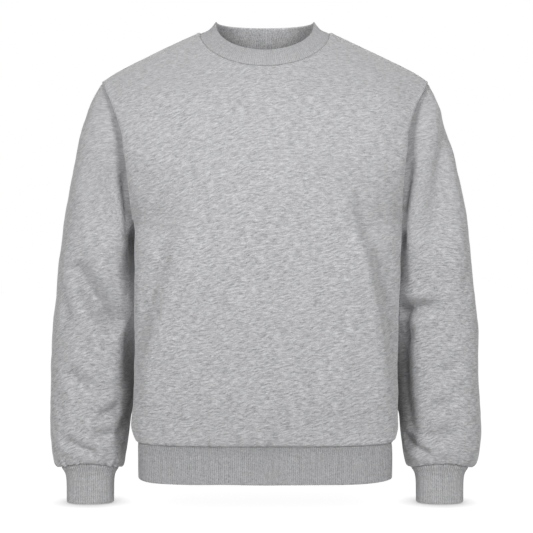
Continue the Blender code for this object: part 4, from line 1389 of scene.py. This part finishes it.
NODES = {
    "front": "front_panel", "back": "back_panel", "left": "sleeve_left",
    "right": "sleeve_right", "hem": "hem_rib", "neck": "neck_rib",
    "cuff_left": "cuff_left", "cuff_right": "cuff_right",
}
for key, piece in pieces.items():
    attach(piece, "root")
    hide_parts(NODES[key])

# ---------------------------------------------------------------- studio

AMBIENT = 0.24
BEHIND = 0.42           # added from behind, where the lamps don't reach
BELOW = 0.55
LEFT, RIGHT = 18.6, 17.1

FLOOR_Z = -0.7210
floor_mesh = bpy.data.meshes.new("studio_floor")
span = 14.0
floor_mesh.from_pydata(
    [(-span, -span, FLOOR_Z), (span, -span, FLOOR_Z), (span, span, FLOOR_Z), (-span, span, FLOOR_Z)],
    [], [(0, 1, 2, 3)])
floor = bpy.data.objects.new("studio_floor", floor_mesh)
bpy.context.scene.collection.objects.link(floor)
paint = bpy.data.materials.new("studio_white")
paint.use_nodes = True
white = paint.node_tree.nodes["Principled BSDF"]
white.inputs["Base Color"].default_value = (0.25, 0.25, 0.25, 1)
white.inputs["Roughness"].default_value = 1.0
white.inputs["Specular IOR Level"].default_value = 0.0
white.inputs["Emission Color"].default_value = (1, 1, 1, 1)
# Painted shadow: the floor's glow is darkened by ambient occlusion where the cuffs all but touch it.
painted_contact_shadow = paint.node_tree.nodes.new("ShaderNodeAmbientOcclusion")
painted_contact_shadow.inputs["Distance"].default_value = 0.040
painted_contact_shadow.samples = 12
glow = paint.node_tree.nodes.new("ShaderNodeMath")
glow.operation = "MULTIPLY"
glow.inputs[1].default_value = 0.93
paint.node_tree.links.new(painted_contact_shadow.outputs["AO"], glow.inputs[0])
paint.node_tree.links.new(glow.outputs[0], white.inputs["Emission Strength"])
floor_mesh.materials.append(paint)
floor.visible_diffuse = False

# A white studio: what is seen behind is white, what lights the cloth is softer,
# and comes up from the white floor more than from behind the camera.
world = bpy.data.worlds.new("studio")
bpy.context.scene.world = world
world.use_nodes = True
tree = world.node_tree
where = tree.nodes.new("ShaderNodeTexCoord")
height = tree.nodes.new("ShaderNodeSeparateXYZ")
tree.links.new(where.outputs["Generated"], height.inputs[0])
soft = tree.nodes.new("ShaderNodeMapRange")
soft.interpolation_type = "SMOOTHSTEP"
for name, x in zip(("From Min", "From Max", "To Min", "To Max"), (-1.0, 0.1, BELOW, AMBIENT)):
    soft.inputs[name].default_value = x
tree.links.new(height.outputs["Z"], soft.inputs["Value"])
rear = tree.nodes.new("ShaderNodeMapRange")
rear.interpolation_type = "SMOOTHSTEP"
for name, x in zip(("From Min", "From Max", "To Min", "To Max"), (0.1, 1.0, 0.0, BEHIND)):
    rear.inputs[name].default_value = x
tree.links.new(height.outputs["Y"], rear.inputs["Value"])
both_ways = tree.nodes.new("ShaderNodeMath")
tree.links.new(soft.outputs[0], both_ways.inputs[0])
tree.links.new(rear.outputs[0], both_ways.inputs[1])
ray = tree.nodes.new("ShaderNodeLightPath")
level = tree.nodes.new("ShaderNodeMapRange")
level.inputs["To Max"].default_value = 1.0
tree.links.new(both_ways.outputs[0], level.inputs["To Min"])
tree.links.new(ray.outputs["Is Camera Ray"], level.inputs["Value"])
sky = tree.nodes["Background"]
sky.inputs["Color"].default_value = (1, 1, 1, 1)
tree.links.new(level.outputs[0], sky.inputs["Strength"])


def softbox(name, place, aim, size, power):
    lamp = bpy.data.lights.new(name, "AREA")
    lamp.shape = "RECTANGLE"
    lamp.size, lamp.size_y = size
    lamp.energy = power
    made = bpy.data.objects.new(name, lamp)
    bpy.context.scene.collection.objects.link(made)
    made.location = place
    way = Vector(aim) - Vector(place)
    made.rotation_euler = way.to_track_quat("-Z", "Y").to_euler()
    made.visible_camera = False
    return made


softbox("left", (-0.82, -1.70, 0.28), (0.0, 0.0, -0.32), (0.55, 1.1), LEFT)
softbox("right", (0.82, -1.70, 0.28), (0.0, 0.0, -0.32), (0.55, 1.1), RIGHT)

camera = bpy.data.cameras.new("camera")
camera.sensor_width = 36
camera.lens = 36 * 1.9 / (533 * 0.00153)
camera.clip_start, camera.clip_end = 0.05, 60
eye = bpy.data.objects.new("camera", camera)
bpy.context.scene.collection.objects.link(eye)
eye.location = (0.0023, -1.9, -0.357)
eye.rotation_euler = (math.pi / 2, 0, 0)
bpy.context.scene.camera = eye
bpy.context.scene.view_settings.view_transform = "Standard"
